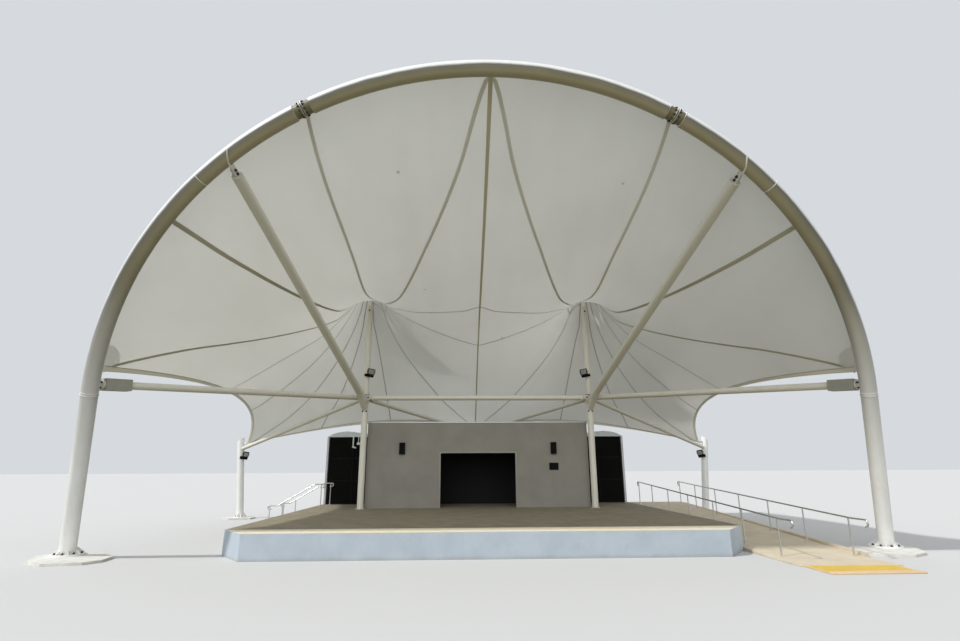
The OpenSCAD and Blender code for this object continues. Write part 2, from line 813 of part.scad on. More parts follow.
module ramp_rail(x, ys, y0) {
    z0 = ramp_z(y0) + rail_h;
    z1 = rail_h;
    y2 = ramp_end_y - 560;
    translate([x, 0, 0]) rotate([90, 0, 90])
        bent_tube([[y0 - 90, z0 - 170], [y0, z0 - 170], [y0, z0],
            [ramp_end_y, z1], [y2, z1], [y2, z1 - 170], [y2 + 90, z1 - 170]], 80, rail_d);
    for (y = ys) rail_post(x, y, ramp_z(y) + gap + rail_post_d / 2 * stage_h / ramp_run,
        ramp_z(y) + rail_h);
}

module ramp_rail_near() {
    color("silver") ramp_rail(ramp_x0 + 340, [2350, 700, -1050, -2900, -4800, -6570, -8300],
        2520);
}

module ramp_rail_far() {
    color("silver") ramp_rail(ramp_x1 - 180, [2350, 750, -1050, -2850, -4670, -6450, -8300],
        2520);
}

module tactile_pad() {
    color("gold") translate([ramp_x0 + 100, ramp_end_y - 1200 - gap - 900, 0])
        cube([2000, 900, 24]);
}

stage();
room_front_left();
room_front_right();
room_lintel();
room_side_walls();
room_rear_wall();
room_roof();
room_backdrop();
wing_screens();
wing_posts();
wing_awnings();
wall_lights();
wall_plaque();
arch_crown();
arch_left();
arch_right();
arch_splices();
arch_bases();
arch_pads();
mast_left();
mast_right();
cone_ring_left();
cone_ring_right();
cone_caps();
cross_beam();
side_struts();
raking_struts();
rear_struts();
corner_posts();
rear_post();
post_pads();
strut_boxes();
floodlights();
corner_plates();
steps();
step_rails();
ramp();
ramp_rail_near();
ramp_rail_far();
tactile_pad();
canopy_front_left();
canopy_front_right();
canopy_side_left();
canopy_side_right();
canopy_rear_left();
canopy_rear_right();
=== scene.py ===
import bpy, bmesh, math
import numpy as np
from mathutils import Matrix, Vector
from mathutils.bvhtree import BVHTree


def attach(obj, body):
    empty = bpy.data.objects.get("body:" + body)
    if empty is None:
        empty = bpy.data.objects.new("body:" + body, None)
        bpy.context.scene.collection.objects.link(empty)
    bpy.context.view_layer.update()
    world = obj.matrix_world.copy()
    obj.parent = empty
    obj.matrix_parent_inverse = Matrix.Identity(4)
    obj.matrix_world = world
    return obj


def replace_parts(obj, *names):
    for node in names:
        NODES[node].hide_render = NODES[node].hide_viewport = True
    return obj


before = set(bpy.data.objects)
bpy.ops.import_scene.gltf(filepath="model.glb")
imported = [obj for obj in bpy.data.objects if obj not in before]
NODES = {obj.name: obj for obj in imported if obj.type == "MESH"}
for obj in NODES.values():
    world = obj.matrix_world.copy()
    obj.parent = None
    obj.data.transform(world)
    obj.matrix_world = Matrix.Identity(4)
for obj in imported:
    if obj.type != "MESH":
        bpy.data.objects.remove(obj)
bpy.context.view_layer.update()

# Bandstand in metres: X to the right and Y away from the audience, Z up, origin on the
# ground in the centre plane, below the line of the two masts. Most pieces are drawn for
# the right half and mirrored.

# ---------------------------------------------------------------- materials

OFF, ON = (0, 0, 0), (1, 1, 1)
RUST = (.36, .27, .16)
# front edge of the stage and back of the pale band along it, as distances from the masts; the band
# is partly paler paving and partly painted sunlight
STAGE_FRONT, BAND_BACK = 8.12, 7.12


def node(t, kind):
    return t.nodes.new("ShaderNode" + kind)


def principled(name):
    m = bpy.data.materials.new(name)
    m.use_nodes = True
    t = m.node_tree
    t.nodes.clear()
    b = node(t, "BsdfPrincipled")
    t.links.new(b.outputs[0], node(t, "OutputMaterial").inputs[0])
    return m, t, b


def coords(t, scale=(1, 1, 1)):
    g = node(t, "NewGeometry")
    m = node(t, "Mapping")
    m.inputs["Scale"].default_value = scale
    t.links.new(g.outputs["Position"], m.inputs["Vector"])
    return m.outputs[0]


def noise(t, vec, scale, detail=4, rough=.55):
    n = node(t, "TexNoise")
    n.inputs["Scale"].default_value = scale
    n.inputs["Detail"].default_value = detail
    n.inputs["Roughness"].default_value = rough
    t.links.new(vec, n.inputs["Vector"])
    return n.outputs["Fac"]


def ramp(t, fac, stops):
    r = node(t, "ValToRGB")
    e = r.color_ramp.elements
    e[0].position, e[0].color = stops[0][0], (*stops[0][1], 1)
    e[1].position, e[1].color = stops[-1][0], (*stops[-1][1], 1)
    for p, c in stops[1:-1]:
        e.new(p).color = (*c, 1)
    t.links.new(fac, r.inputs[0])
    return r.outputs[0]


def mix(t, fac, a, b):
    m = node(t, "Mix")
    m.data_type = "RGBA"
    for sock, v in ((0, fac), (6, a), (7, b)):
        if isinstance(v, bpy.types.NodeSocket):
            t.links.new(v, m.inputs[sock])
        elif sock == 0:
            m.inputs[0].default_value = v
        else:
            m.inputs[sock].default_value = (*v, 1)
    return m.outputs[2]


def math_node(t, op, a, b=0.0):
    m = node(t, "Math")
    m.operation = op
    for k, v in enumerate((a, b)):
        if isinstance(v, bpy.types.NodeSocket):
            t.links.new(v, m.inputs[k])
        else:
            m.inputs[k].default_value = v
    return m.outputs[0]


def bump(t, b, height, strength, dist):
    n = node(t, "Bump")
    n.inputs["Strength"].default_value = strength
    n.inputs["Distance"].default_value = dist
    t.links.new(height, n.inputs["Height"])
    t.links.new(n.outputs[0], b.inputs["Normal"])


def axis_of(t, vec, k):
    s = node(t, "SeparateXYZ")
    t.links.new(vec, s.inputs[0])
    return s.outputs[k]


def paint(name, base, dirt, rough=.42, spots=.5, under=None, level=(.1, .3)):
    """Satin paint on steel: faint streaks and small chips, with faces turned down darkened towards
    the under colours above the heights in level: partly grime, partly painted shade.
    """
    m, t, b = principled(name)
    p = coords(t)
    streak = noise(t, coords(t, (1, 1, .25)), 5, 5, .6)
    col = ramp(t, streak, [(.3, dirt), (.62, base)])
    speck = noise(t, p, 38, 2, .5)
    chips = ramp(t, speck, [(.74, OFF), (.78, ON)])
    coat_colour = mix(t, math_node(t, "MULTIPLY", chips, spots), col, RUST)
    # painted shade with some grime: faces turned down darken, more so the higher they are
    if under:
        n = node(t, "NewGeometry")
        down = math_node(t, "MULTIPLY", axis_of(t, n.outputs["Normal"], 2), -1)
        low = math_node(t, "ADD", down, math_node(t, "MULTIPLY", noise(t, p, 1.3, 4), .25))
        high = ramp(t, math_node(t, "MULTIPLY", axis_of(t, p, 2), .1),
                    [(level[0], OFF), (level[1], ON)])
        part = math_node(t, "MULTIPLY", ramp(t, low, [(0, OFF), (.3, ON)]), high)
        coat_colour = mix(t, part, coat_colour, ramp(t, low, [(.25, under[0]), (.9, under[1])]))
    t.links.new(coat_colour, b.inputs["Base Color"])
    t.links.new(ramp(t, streak, [(.2, (rough + .12,) * 3), (.8, (rough - .06,) * 3)]),
                b.inputs["Roughness"])
    bump(t, b, noise(t, p, 160, 3, .5), .06, .002)
    return m


STEEL = paint("painted_steel", (.84, .84, .81), (.79, .78, .74))
# arch tube: olive under its downward faces, partly grime and partly painted shade with a painted
# reflection of the ground
STEEL_ARCH = paint("painted_steel_arch", (.84, .84, .82), (.79, .79, .75),
                   under=((.09, .091, .077), (.335, .293, .167)), level=(.2, .65))
# masts and struts: faces turned down slightly darker, painted shade with some grime
STEEL_CREAM = paint("painted_steel_strut", (.75, .73, .64), (.70, .68, .58),
                    under=((.72, .70, .60), (.56, .53, .42)))
# splice cores: dark olive over paint as pale as the tube's, painted shade
STEEL_CORE_SHADED = paint("steel_core_painted_shade", (.17, .15, .07), (.13, .115, .055))
# strut boxes: pale paint darkened all over, and more on faces turned down: painted shade
STEEL_BOX_SHADED = paint("steel_box_painted_shade", (.38, .37, .32), (.33, .32, .27),
                  under=((.22, .21, .16),) * 2)


def fabric(name, base, shade, through):
    """Coated fabric that glows in daylight: cloth weave, faint bands and specks of grime."""
    m, t, b = principled(name)
    p = coords(t)
    band = noise(t, coords(t, (1.4, .25, .3)), 1.1, 3, .5)
    cloud = noise(t, p, .35, 3, .5)
    col = ramp(t, math_node(t, "ADD", math_node(t, "MULTIPLY", band, .35),
                            math_node(t, "MULTIPLY", cloud, .65)), [(.36, shade), (.6, base)])
    grime = noise(t, p, 2.6, 6, .65)
    col = mix(t, ramp(t, grime, [(.66, OFF), (.76, (.16,) * 3)]), col, (.5, .49, .43))
    dots = node(t, "TexVoronoi")
    dots.inputs["Scale"].default_value = .55
    t.links.new(p, dots.inputs["Vector"])
    spot = ramp(t, dots.outputs["Distance"], [(.02, (.6,) * 3), (.035, OFF)])
    col = mix(t, spot, col, (.4, .39, .35))
    t.links.new(col, b.inputs["Base Color"])
    b.inputs["Roughness"].default_value = .62
    b.inputs["Sheen Weight"].default_value = .08
    threads = []
    for axis in "XY":
        w = node(t, "TexWave")
        w.inputs["Scale"].default_value = 180
        w.bands_direction = axis
        t.links.new(p, w.inputs["Vector"])
        threads.append(w.outputs["Fac"])
    bump(t, b, math_node(t, "ADD", *threads), .25, .0004)
    glow = node(t, "BsdfTranslucent")
    t.links.new(col, glow.inputs[0])
    both = node(t, "MixShader")
    both.inputs[0].default_value = through
    out = next(n for n in t.nodes if n.type == "OUTPUT_MATERIAL")
    for k, n in ((1, b), (2, glow)):
        t.links.new(n.outputs[0], both.inputs[k])
    t.links.new(both.outputs[0], out.inputs[0])
    return m


FABRIC = fabric("coated_fabric", (.81, .805, .77), (.78, .775, .74), .585)
SEAM = fabric("fabric_seam", (.54, .51, .37), (.48, .45, .32), .25)
SEAM_LIGHT = fabric("fabric_seam_light", (.74, .72, .60), (.68, .66, .54), .12)
SEAM_MAIN = fabric("fabric_ridge_seam", (.56, .51, .33), (.50, .45, .29), .08)
SEAM_THIN = fabric("fabric_seam_thin", (.44, .44, .41), (.39, .39, .36), .2)
HEM = fabric("fabric_hem", (.93, .89, .75), (.87, .83, .69), .1)


def stone(name, base, stain, scale=3., rough=.85, grain=.35, grit=90, depth=.004):
    """Concrete or render: clouds of stain, fine grit and a grainy relief."""
    m, t, b = principled(name)
    p = coords(t)
    cloud = noise(t, p, scale, 6, .6)
    col = ramp(t, cloud, [(.34, stain), (.62, base)])
    speck = noise(t, p, grit, 3, .6)
    dark = tuple(.72 * c for c in base)
    col = mix(t, ramp(t, speck, [(.58, OFF), (.7, (.5,) * 3)]), col, dark)
    t.links.new(col, b.inputs["Base Color"])
    b.inputs["Roughness"].default_value = rough
    bump(t, b, speck, grain, depth)
    return m


RENDER = stone("wall_render", (.285, .272, .235), (.25, .240, .208), 1.2, .9, .5, 120, .003)


def stage_look():
    """Blue grey painted sides, sandy paving on top and a pale band along the front, partly paler
    paving and partly painted sunlight.
    """
    m, t, b = principled("stage_concrete")
    p = coords(t)
    cloud = noise(t, p, 1.7, 6, .6)
    side = ramp(t, cloud, [(.34, (.45, .515, .58)), (.62, (.505, .57, .635))])
    streak = noise(t, coords(t, (1, 1, .12)), 9, 5, .65)
    side = mix(t, ramp(t, streak, [(.6, OFF), (.78, (.3,) * 3)]), side, (.33, .38, .43))
    y = axis_of(t, p, 1)
    z = axis_of(t, p, 2)
    low = ramp(t, math_node(t, "ADD", z, math_node(t, "MULTIPLY", cloud, .12)),
               [(.06, (.55,) * 3), (.16, OFF)])
    side = mix(t, low, side, (.36, .36, .32))
    paving = ramp(t, noise(t, p, 2.2, 6, .6),
                  [(.34, (.235, .203, .138)), (.62, (.30, .262, .180))])
    # pale band: partly paler paving, partly painted sunlight on the floor in front of the arch's
    # shade
    band = ramp(t, noise(t, p, 5, 5, .6), [(.34, (.78, .70, .54)), (.62, (.88, .81, .66))])
    edge = ramp(t, math_node(t, "ADD", y, STAGE_FRONT), [
        (.10, ON), (.13, OFF), (.36, OFF), (.42, (.6,) * 3), (.52, (.6,) * 3), (.60, OFF)])
    band = mix(t, edge, band, (.78, .65, .36))
    behind = math_node(t, "GREATER_THAN", y, -BAND_BACK)
    gap = math_node(t, "ABSOLUTE", math_node(t, "ADD", y, BAND_BACK))
    joint = math_node(t, "MULTIPLY", math_node(t, "LESS_THAN", gap, .018), .8)
    top = mix(t, joint, mix(t, behind, band, paving), (.06, .05, .04))
    n = node(t, "NewGeometry")
    up_face = math_node(t, "GREATER_THAN", axis_of(t, n.outputs["Normal"], 2), .5)
    grit = noise(t, p, 70, 3, .6)
    col = mix(t, up_face, side, top)
    col = mix(t, ramp(t, grit, [(.58, OFF), (.7, (.3,) * 3)]), col, (.2, .19, .17))
    t.links.new(col, b.inputs["Base Color"])
    b.inputs["Roughness"].default_value = .82
    bump(t, b, grit, .3, .003)
    return m


STAGE = stage_look()
PAD = stone("concrete_pad", (.80, .79, .74), (.64, .63, .58), 5., .9, .6, 40, .012)
PAVING = stone("ramp_paving", (.70, .61, .46), (.60, .52, .39), 1.8, .85, .35, 70, .003)
ROOF = stone("room_roof_sheet", (.40, .40, .38), (.32, .32, .30), 2., .8, .3, 60, .003)
STEP = stone("step_concrete", (.44, .42, .37), (.33, .31, .27), 4., .85, .4, 80, .004)
TACTILE = stone("tactile_yellow", (.88, .66, .12), (.80, .58, .10), 6., .6, .2, 120, .002)
# ground of the tactile pad, darker than its studs: painted shade between the studs
TACTILE_BASE_SHADED = stone("tactile_base_painted_shade", (.40, .23, .03), (.34, .19, .025), 6., .6, .2, 120, .002)
TACTILE_EDGE = stone("tactile_edge_strip", (.80, .58, .34), (.72, .51, .29), 6., .6, .2, 120, .002)


def metal(name, base, rough, scale=(30, 30, 1)):
    """Bare metal, a little uneven in tone and roughness."""
    m, t, b = principled(name)
    n = noise(t, coords(t, scale), 12, 4, .6)
    t.links.new(ramp(t, n, [(.3, tuple(.86 * c for c in base)), (.7, base)]),
                b.inputs["Base Color"])
    t.links.new(ramp(t, n, [(.3, (rough + .1,) * 3), (.7, (rough - .05,) * 3)]),
                b.inputs["Roughness"])
    b.inputs["Metallic"].default_value = 1
    return m


STAINLESS = metal("stainless", (.62, .62, .60), .32)
GALV = metal("galvanised", (.56, .57, .58), .5, (6, 6, 6))


def dark(name, base, rough, gloss=.5):
    """Plain surface with a faint mottle, for black parts, bolts and glass."""
    m, t, b = principled(name)
    b.inputs["Specular IOR Level"].default_value = gloss
    n = noise(t, coords(t), 22, 4, .6)
    t.links.new(ramp(t, n, [(.3, tuple(.7 * c for c in base)), (.7, base)]),
                b.inputs["Base Color"])
    b.inputs["Roughness"].default_value = rough
    bump(t, b, n, .1, .002)
    return m


BLACK = dark("black_housing", (.022, .022, .023), .45)
BOLT = dark("dark_bolt", (.05, .045, .04), .5)
CURTAIN = dark("black_backdrop", (.012, .012, .012), .85, .2)
SCREEN = dark("dark_screen", (.007, .007, .007), .9, .08)
GLASS = dark("lamp_glass", (.34, .34, .31), .15)
SCREEN_FRAME = dark("screen_frame", (.012, .012, .012), .8, .1)
FIXTURE = dark("black_fixture", (.007, .007, .007), .7, .08)
RENDER_PALE = stone("opening_trim_render", (.345, .333, .298), (.30, .29, .26), 2., .85, .4,
                    120, .002)
NOSING = stone("step_nosing", (.66, .60, .40), (.55, .50, .34), 6., .7, .3, 90, .002)
AWNING = paint("awning_sheet", (.66, .72, .74), (.58, .64, .66), .4, .1)

CAD_LOOK = {
    "stage": STAGE, "room_front_left": RENDER, "room_front_right": RENDER,
    "room_lintel": RENDER, "room_side_walls": RENDER, "room_rear_wall": RENDER,
    "room_roof": ROOF, "room_backdrop": CURTAIN, "wing_screens": SCREEN,
    "wing_posts": GALV, "wing_awnings": AWNING, "wall_lights": FIXTURE, "wall_plaque": FIXTURE,
    "arch_crown": STEEL_ARCH, "arch_left": STEEL_ARCH, "arch_right": STEEL_ARCH,
    "arch_splices": STEEL, "arch_bases": STEEL, "arch_pads": PAD, "mast_left": STEEL_CREAM,
    "mast_right": STEEL_CREAM, "cone_ring_left": STEEL, "cone_ring_right": STEEL,
    "cone_caps": STEEL, "cross_beam": STEEL_CREAM, "side_struts": STEEL_CREAM,
    "raking_struts": STEEL_CREAM, "rear_struts": STEEL_CREAM, "corner_posts": STEEL,
    "rear_post": STEEL, "post_pads": PAD, "strut_boxes": STEEL_BOX_SHADED, "floodlights": BLACK,
    "corner_plates": GALV, "steps": STEP, "step_rails": STAINLESS, "ramp": PAVING,
    "ramp_rail_near": STAINLESS, "ramp_rail_far": STAINLESS, "tactile_pad": TACTILE_BASE_SHADED,
}
for name, look in CAD_LOOK.items():
    o = NODES[name]
    o.data.materials.clear()
    o.data.materials.append(look)

# ---------------------------------------------------------------- mesh helpers


def made(name, verts, faces, look, slot, sharp=35):
    """Smooth shaded piece with hard edges above an angle of sharp degrees."""
    me = bpy.data.meshes.new(name)
    me.from_pydata([tuple(map(float, v)) for v in verts], [], [tuple(map(int, f)) for f in faces])
    me.materials.append(look)
    me.update()
    me.polygons.foreach_set("use_smooth", [True] * len(me.polygons))
    me.set_sharp_from_angle(angle=math.radians(sharp))
    o = bpy.data.objects.new(name, me)
    bpy.context.scene.collection.objects.link(o)
    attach(o, "root")
    return o


def at(p, axis, roll=0.):
    """Frame at p with Z along axis."""
    q = Vector(axis).to_track_quat("Z", "Y").to_matrix().to_4x4()
    return Matrix.Translation(Vector(p)) @ q @ Matrix.Rotation(roll, 4, "Z")


class Kit:
    """Collects vertices and faces of one piece."""

    def __init__(self):
        self.v, self.f = [], []

    def add(self, verts, faces):
        n = len(self.v)
        self.v += [tuple(map(float, p)) for p in verts]
        self.f += [tuple(n + i for i in f) for f in faces]

    def box(self, lo, hi, bevel, m=None):
        """Box between two corners with rounded edges, in the frame m if given."""
        bm = bmesh.new()
        bmesh.ops.create_cube(bm, size=1)
        for w in bm.verts:
            w.co = [(a + b) / 2 + c * (b - a) for a, b, c in zip(lo, hi, w.co)]
        bmesh.ops.bevel(bm, geom=bm.edges[:], offset=bevel, segments=2, affect="EDGES",
                        profile=.6)
        bm.verts.index_update()
        self.add([tuple(w.co if m is None else m @ w.co) for w in bm.verts],
                 [tuple(w.index for w in q.verts) for q in bm.faces])
        bm.free()

    def sweep(self, path, r, n=16):
        """Tube of radius r (a number or one per point) along a path."""
        path = [Vector(p) for p in path]
        r = [r] * len(path) if isinstance(r, (int, float)) else list(r)
        t = [(path[min(k + 1, len(path) - 1)] - path[max(k - 1, 0)]).normalized()
             for k in range(len(path))]
        u = t[0].orthogonal().normalized()
        verts = []
        for k, p in enumerate(path):
            u = (u - t[k] * u.dot(t[k])).normalized()
            w = t[k].cross(u)
            verts += [p + (u * math.cos(a) + w * math.sin(a)) * r[k]
                      for a in (2 * math.pi * i / n for i in range(n))]
        faces = [(k * n + i, k * n + (i + 1) % n, (k + 1) * n + (i + 1) % n, (k + 1) * n + i)
                 for k in range(len(path) - 1) for i in range(n)]
        faces += [tuple(reversed(range(n))), tuple(range((len(path) - 1) * n, len(path) * n))]
        self.add(verts, faces)

    def rod(self, a, b, d, n=16, edge=0.):
        """Round bar of diameter d from a to b, its ends rounded by edge."""
        a, b = Vector(a), Vector(b)
        if edge <= 0:
            self.sweep([a, b], d / 2, n)
        else:
            u = (b - a).normalized() * edge
            self.sweep([a, a + u * .3, a + u, b - u, b - u * .3, b],
                       [d / 2 - edge, d / 2 - edge * .3, d / 2, d / 2, d / 2 - edge * .3,
                        d / 2 - edge], n)

    def bolt(self, p, axis, d=.03, h=.02):
        """Hexagon head on a washer, standing on p along axis."""
        a = Vector(axis).normalized()
        p = Vector(p)
        self.sweep([p, p + a * h * .2], d * .68, 16)
        self.sweep([p + a * h * .2, p + a * h], d / 2 * 1.1, 6)
        self.sweep([p + a * h, p + a * h * 1.4], d * .3, 10)

    def bolts(self, p, axis, r, n, d=.03, h=.02, start=0.):
        """Ring of n bolts of radius r round p."""
        m = at(p, axis, start)
        for i in range(n):
            a = 2 * math.pi * i / n
            self.bolt(m @ Vector((r * math.cos(a), r * math.sin(a), 0)), axis, d, h)

    def hoop(self, p, axis, big, r, n=48, m=8):
        """Round bar of radius r bent to a ring of radius big."""
        f = at(p, axis)
        self.add([f @ Vector(((big + r * math.cos(b)) * math.cos(a),
                              (big + r * math.cos(b)) * math.sin(a), r * math.sin(b)))
                  for a in (2 * math.pi * i / n for i in range(n))
                  for b in (2 * math.pi * j / m for j in range(m))],
                 [(i * m + j, (i + 1) % n * m + j, (i + 1) % n * m + (j + 1) % m,
                   i * m + (j + 1) % m) for i in range(n) for j in range(m)])

    def plate(self, m, pts, t):
        """Flat plate: outline pts in the frame's XZ, thickness t along its Y."""
        n = len(pts)
        self.add([m @ Vector((x, s * t / 2, z)) for s in (-1, 1) for x, z in pts],
                 [tuple(range(n)), tuple(range(2 * n - 1, n - 1, -1))]
                 + [(i, i + n, (i + 1) % n + n, (i + 1) % n) for i in range(n)])

    def gussets(self, p, n, r0, r1, h, t=.016, start=0.):
        """n upright triangular plates round p."""
        for i in range(n):
            turn = Matrix.Rotation(start + 2 * math.pi * i / n, 4, "Z")
            m = Matrix.Translation(Vector(p)) @ turn
            self.plate(m, [(r0, 0), (r1, 0), (r1, .02), (r0 + .05, h), (r0, h)], t)

    def mirror(self):
        """Adds the other half."""
        self.add([(-x, y, z) for x, y, z in self.v], [tuple(reversed(f)) for f in self.f])
        return self

    def make(self, name, look, slot):
        return made(name, self.v, self.f, look, slot)


# ---------------------------------------------------------------- camera

# solved from places in the photo; the focal length is in its pixels
PITCH, YAW, ROLL = .267, .034, -.005
CAM = Vector((-.663, -22.236, 2.136))
F_PX, PIC_W, PIC_H, SENSOR = 539.249, 960, 641, 36
fwd = Vector((math.sin(YAW) * math.cos(PITCH), math.cos(YAW) * math.cos(PITCH), math.sin(PITCH)))
rt = Vector((math.cos(YAW), -math.sin(YAW), 0))
up = rt.cross(fwd)
cr = rt * math.cos(ROLL) + up * math.sin(ROLL)
cu = up * math.cos(ROLL) - rt * math.sin(ROLL)
cam = bpy.data.objects.new("camera", bpy.data.cameras.new("camera"))
bpy.context.scene.collection.objects.link(cam)
cam.matrix_world = Matrix(((cr.x, cu.x, -fwd.x, CAM.x), (cr.y, cu.y, -fwd.y, CAM.y),
                           (cr.z, cu.z, -fwd.z, CAM.z), (0, 0, 0, 1)))
cam.data.sensor_fit = "HORIZONTAL"
cam.data.sensor_width = SENSOR
cam.data.lens = F_PX * SENSOR / PIC_W
cam.data.clip_end = 300
bpy.context.scene.camera = cam


def pixel_ray(x, y):
    return (fwd + cr * ((x - PIC_W / 2) / F_PX) - cu * ((y - PIC_H / 2) / F_PX)).normalized()


# ---------------------------------------------------------------- arch geometry

# The arch lies in a plane that leans towards the audience: u across it and v up it. A
# straight tilted leg is followed by the arc of the side and the arc of the crown.
LEAN, TILT = math.radians(21.3), math.radians(11.34)
FOOT, FRONT, LEG_L, SIDE_R = 10.64, 7.17, 4.354, 9.425
CROWN_HALF = math.radians(42.14)
TUBE = .1875
leg_u, leg_v = FOOT - math.sin(TILT) * LEG_L, math.cos(TILT) * LEG_L
side_u, side_v = leg_u - math.cos(TILT) * SIDE_R, leg_v - math.sin(TILT) * SIDE_R
side_end = math.pi / 2 - CROWN_HALF
CROWN_R = (side_u + SIDE_R * math.cos(side_end)) / math.sin(CROWN_HALF)
crown_v = side_v + SIDE_R * math.sin(side_end) - CROWN_R * math.cos(CROWN_HALF)
CROWN_WAY = CROWN_HALF * CROWN_R
SPLICE = math.radians(25.6)


def arch_at(u, v):
    return np.array([u, -FRONT - v * math.sin(LEAN), v * math.cos(LEAN)])


def crown_pt(a):
    return arch_at(CROWN_R * math.sin(a), crown_v + CROWN_R * math.cos(a))


def side_pt(a):
    return arch_at(side_u + SIDE_R * math.cos(a), side_v + SIDE_R * math.sin(a))


def side_angle(z):
    return math.asin((z / math.cos(LEAN) - side_v) / SIDE_R)


def side_way(z):
    """Distance along the tube from the top to height z on the side arc."""
    return (side_end - side_angle(z)) * SIDE_R + CROWN_WAY


def arch_way(s):
    """Centre of the tube at distance s along it from the top."""
    return crown_pt(s / CROWN_R) if s < CROWN_WAY else side_pt(side_end - (s - CROWN_WAY) / SIDE_R)


MAST, RING_Z, RING_D = 4.6, 9.35, .9
# Net of the right half: rows from ring to hem, columns round the outline from the top of
# the arch over the front and rear corners to the rear middle (SEAM0) and along the ridge
N_RAD, N_ALL, SEAM0 = 14, 50, 36
CORNERS, SADDLE = (0, 16, 27, SEAM0), 42
ROUNDS, PULL_ACROSS, PULL_GROWTH, SPREAD = 110, .7, -.35, 9
STEP, SWING = .6, .92
# depth of the fabric's faces below the net: the one seen from above and the one below
TOP_IN, UNDER_IN = .0055, .0085
SKINS = ((UNDER_IN, 1), (TOP_IN, -1))
# ends of the hem's parts along the arch, at columns 6, 11 and 16: splice, next seam, corner
WAYS = (SPLICE * CROWN_R, side_way(7.9), side_way(4.42))
# The hem sits on the upper back of the tube, so the fabric clears the raking struts
HEM_TURN = math.radians(30)
REAR_CORNER, REAR_MID = np.array([10.58, 3.6, 3.27]), np.array([0, 5.2, 4.12])


def arch_hem(j):
    a, b, c = WAYS
    if j <= 6:
        s = a * j / 6
    elif j <= 11:
        s = a + (b - a) * (j - 6) / 5
    else:
        s = b + (c - b) * (j - 11) / 5
    p, t = arch_way(s), arch_way(s + .01) - arch_way(s)
    back = np.array([0, math.cos(LEAN), math.sin(LEAN)])
    out = np.cross(t, back) / np.linalg.norm(t)
    lift = .0195 if j == 6 else .0075  # higher over the splice flanges
    p = p + (TUBE + lift) * (back * math.cos(HEM_TURN) + out * math.sin(HEM_TURN))
    if j == 0:
        p[0] = 0
    return p


def outline():
    """Edge of the right half, one point per column of the net."""
    def curve(a, b, sag, t):
        return a + (b - a) * t + np.array(sag) * 4 * t * (1 - t)

    def bezier(p, t):
        return (p[0] * (1 - t) ** 3 + p[1] * 3 * t * (1 - t) ** 2 + p[2] * 3 * t * t * (1 - t)
                + p[3] * t ** 3)
    saddle, top = np.array([0, -1.4, 8.]), arch_hem(0)
    rear = [REAR_MID, REAR_MID + [0, -.2, .7], saddle + [0, 1.4, .2], saddle]
    front = [saddle, saddle + [0, -3.2, -.2], top + [0, .5, -2.2], top]
    return np.array([arch_hem(j) for j in range(16)]
                    + [curve(arch_hem(16), REAR_CORNER, (-.56, 2.2, 1.), j / 11)
                       for j in range(11)]
                    + [curve(REAR_CORNER, REAR_MID, (-.8, -.9, .5), j / 9) for j in range(9)]
                    + [bezier(rear, j / 6) for j in range(6)]
                    + [bezier(front, j / 8) for j in range(8)])


def fabric_net():
    """The net of the solids, relaxed again from an edge that lies higher on the arch."""
    edge = outline()
    a = np.arctan2(edge[:, 1], edge[:, 0] - MAST)
    rim = np.stack([MAST + RING_D / 2 * np.cos(a), RING_D / 2 * np.sin(a),
                    np.full(N_ALL, RING_Z)], 1)
    g = np.zeros((N_RAD + 1, N_ALL, 3))
    for i in range(N_RAD + 1):
        s = (SPREAD ** (i / N_RAD) - 1) / (SPREAD - 1)
        g[i, :, :2] = rim[:, :2] + (edge[:, :2] - rim[:, :2]) * s
        g[i, :, 2] = rim[:, 2] + (edge[:, 2] - rim[:, 2]) * i / N_RAD
    flat = g[:, :, :2].copy()
    flat[:, :, 0] = MAST + (flat[:, :, 0] - MAST) / PULL_ACROSS

    def pull(o, p, q):
        u, v = p - o, q - o
        m = (o + p + q) / 3
        r = np.hypot(m[..., 0] - MAST, m[..., 1])
        twice = np.abs(u[..., 0] * v[..., 1] - u[..., 1] * v[..., 0])
        return (u * v).sum(-1) / twice * (r / 3) ** PULL_GROWTH
    A, B = flat[:-1], np.roll(flat, -1, 1)[:-1]
    C, D = np.roll(flat, -1, 1)[1:], flat[1:]
    c0, c1, c2 = pull(A, B, C), pull(B, C, A), pull(C, A, B)
    c3, c4, c5 = pull(A, C, D), pull(C, D, A), pull(D, A, C)
    zero = np.zeros((1, N_ALL))
    out = np.concatenate([np.roll(c0, 1, 1) + c4, zero])
    wide = np.concatenate([c2, zero]) + np.concatenate([zero, c3])
    slant = np.concatenate([c1 + c5, zero])
    z = g[:, :, 2].copy()
    y = z.copy()
    free = np.ones((N_RAD + 1, N_ALL), bool)
    free[0] = False
    free[-1, :SEAM0 + 1] = False
    up1 = np.minimum(np.arange(N_RAD + 1) + 1, N_RAD)
    for _ in range(ROUNDS):
        wa = np.concatenate([zero, out[:-1]])
        wl = np.roll(wide, 1, 1)
        wh = np.roll(np.concatenate([zero, slant[:-1]]), 1, 1)
        za = np.concatenate([z[:1], z[:-1]])
        zh = np.roll(za, 1, 1)
        m = (wa * za + out * z[up1] + wide * np.roll(z, -1, 1) + wl * np.roll(z, 1, 1)
             + slant * np.roll(z[up1], -1, 1) + wh * zh) / (wa + out + wide + wl + slant + wh)
        new = np.where(free, z + STEP * (m - z) + SWING * (z - y), z)
        y, z = z, new
    g[:, :, 2] = z
    return g


NET = fabric_net()

# Smooth surface through the net: u from ring to hem, v round the outline, where the
# columns are spaced as in row 10
spans = np.linalg.norm(np.roll(NET[10], -1, 0) - NET[10], axis=1)


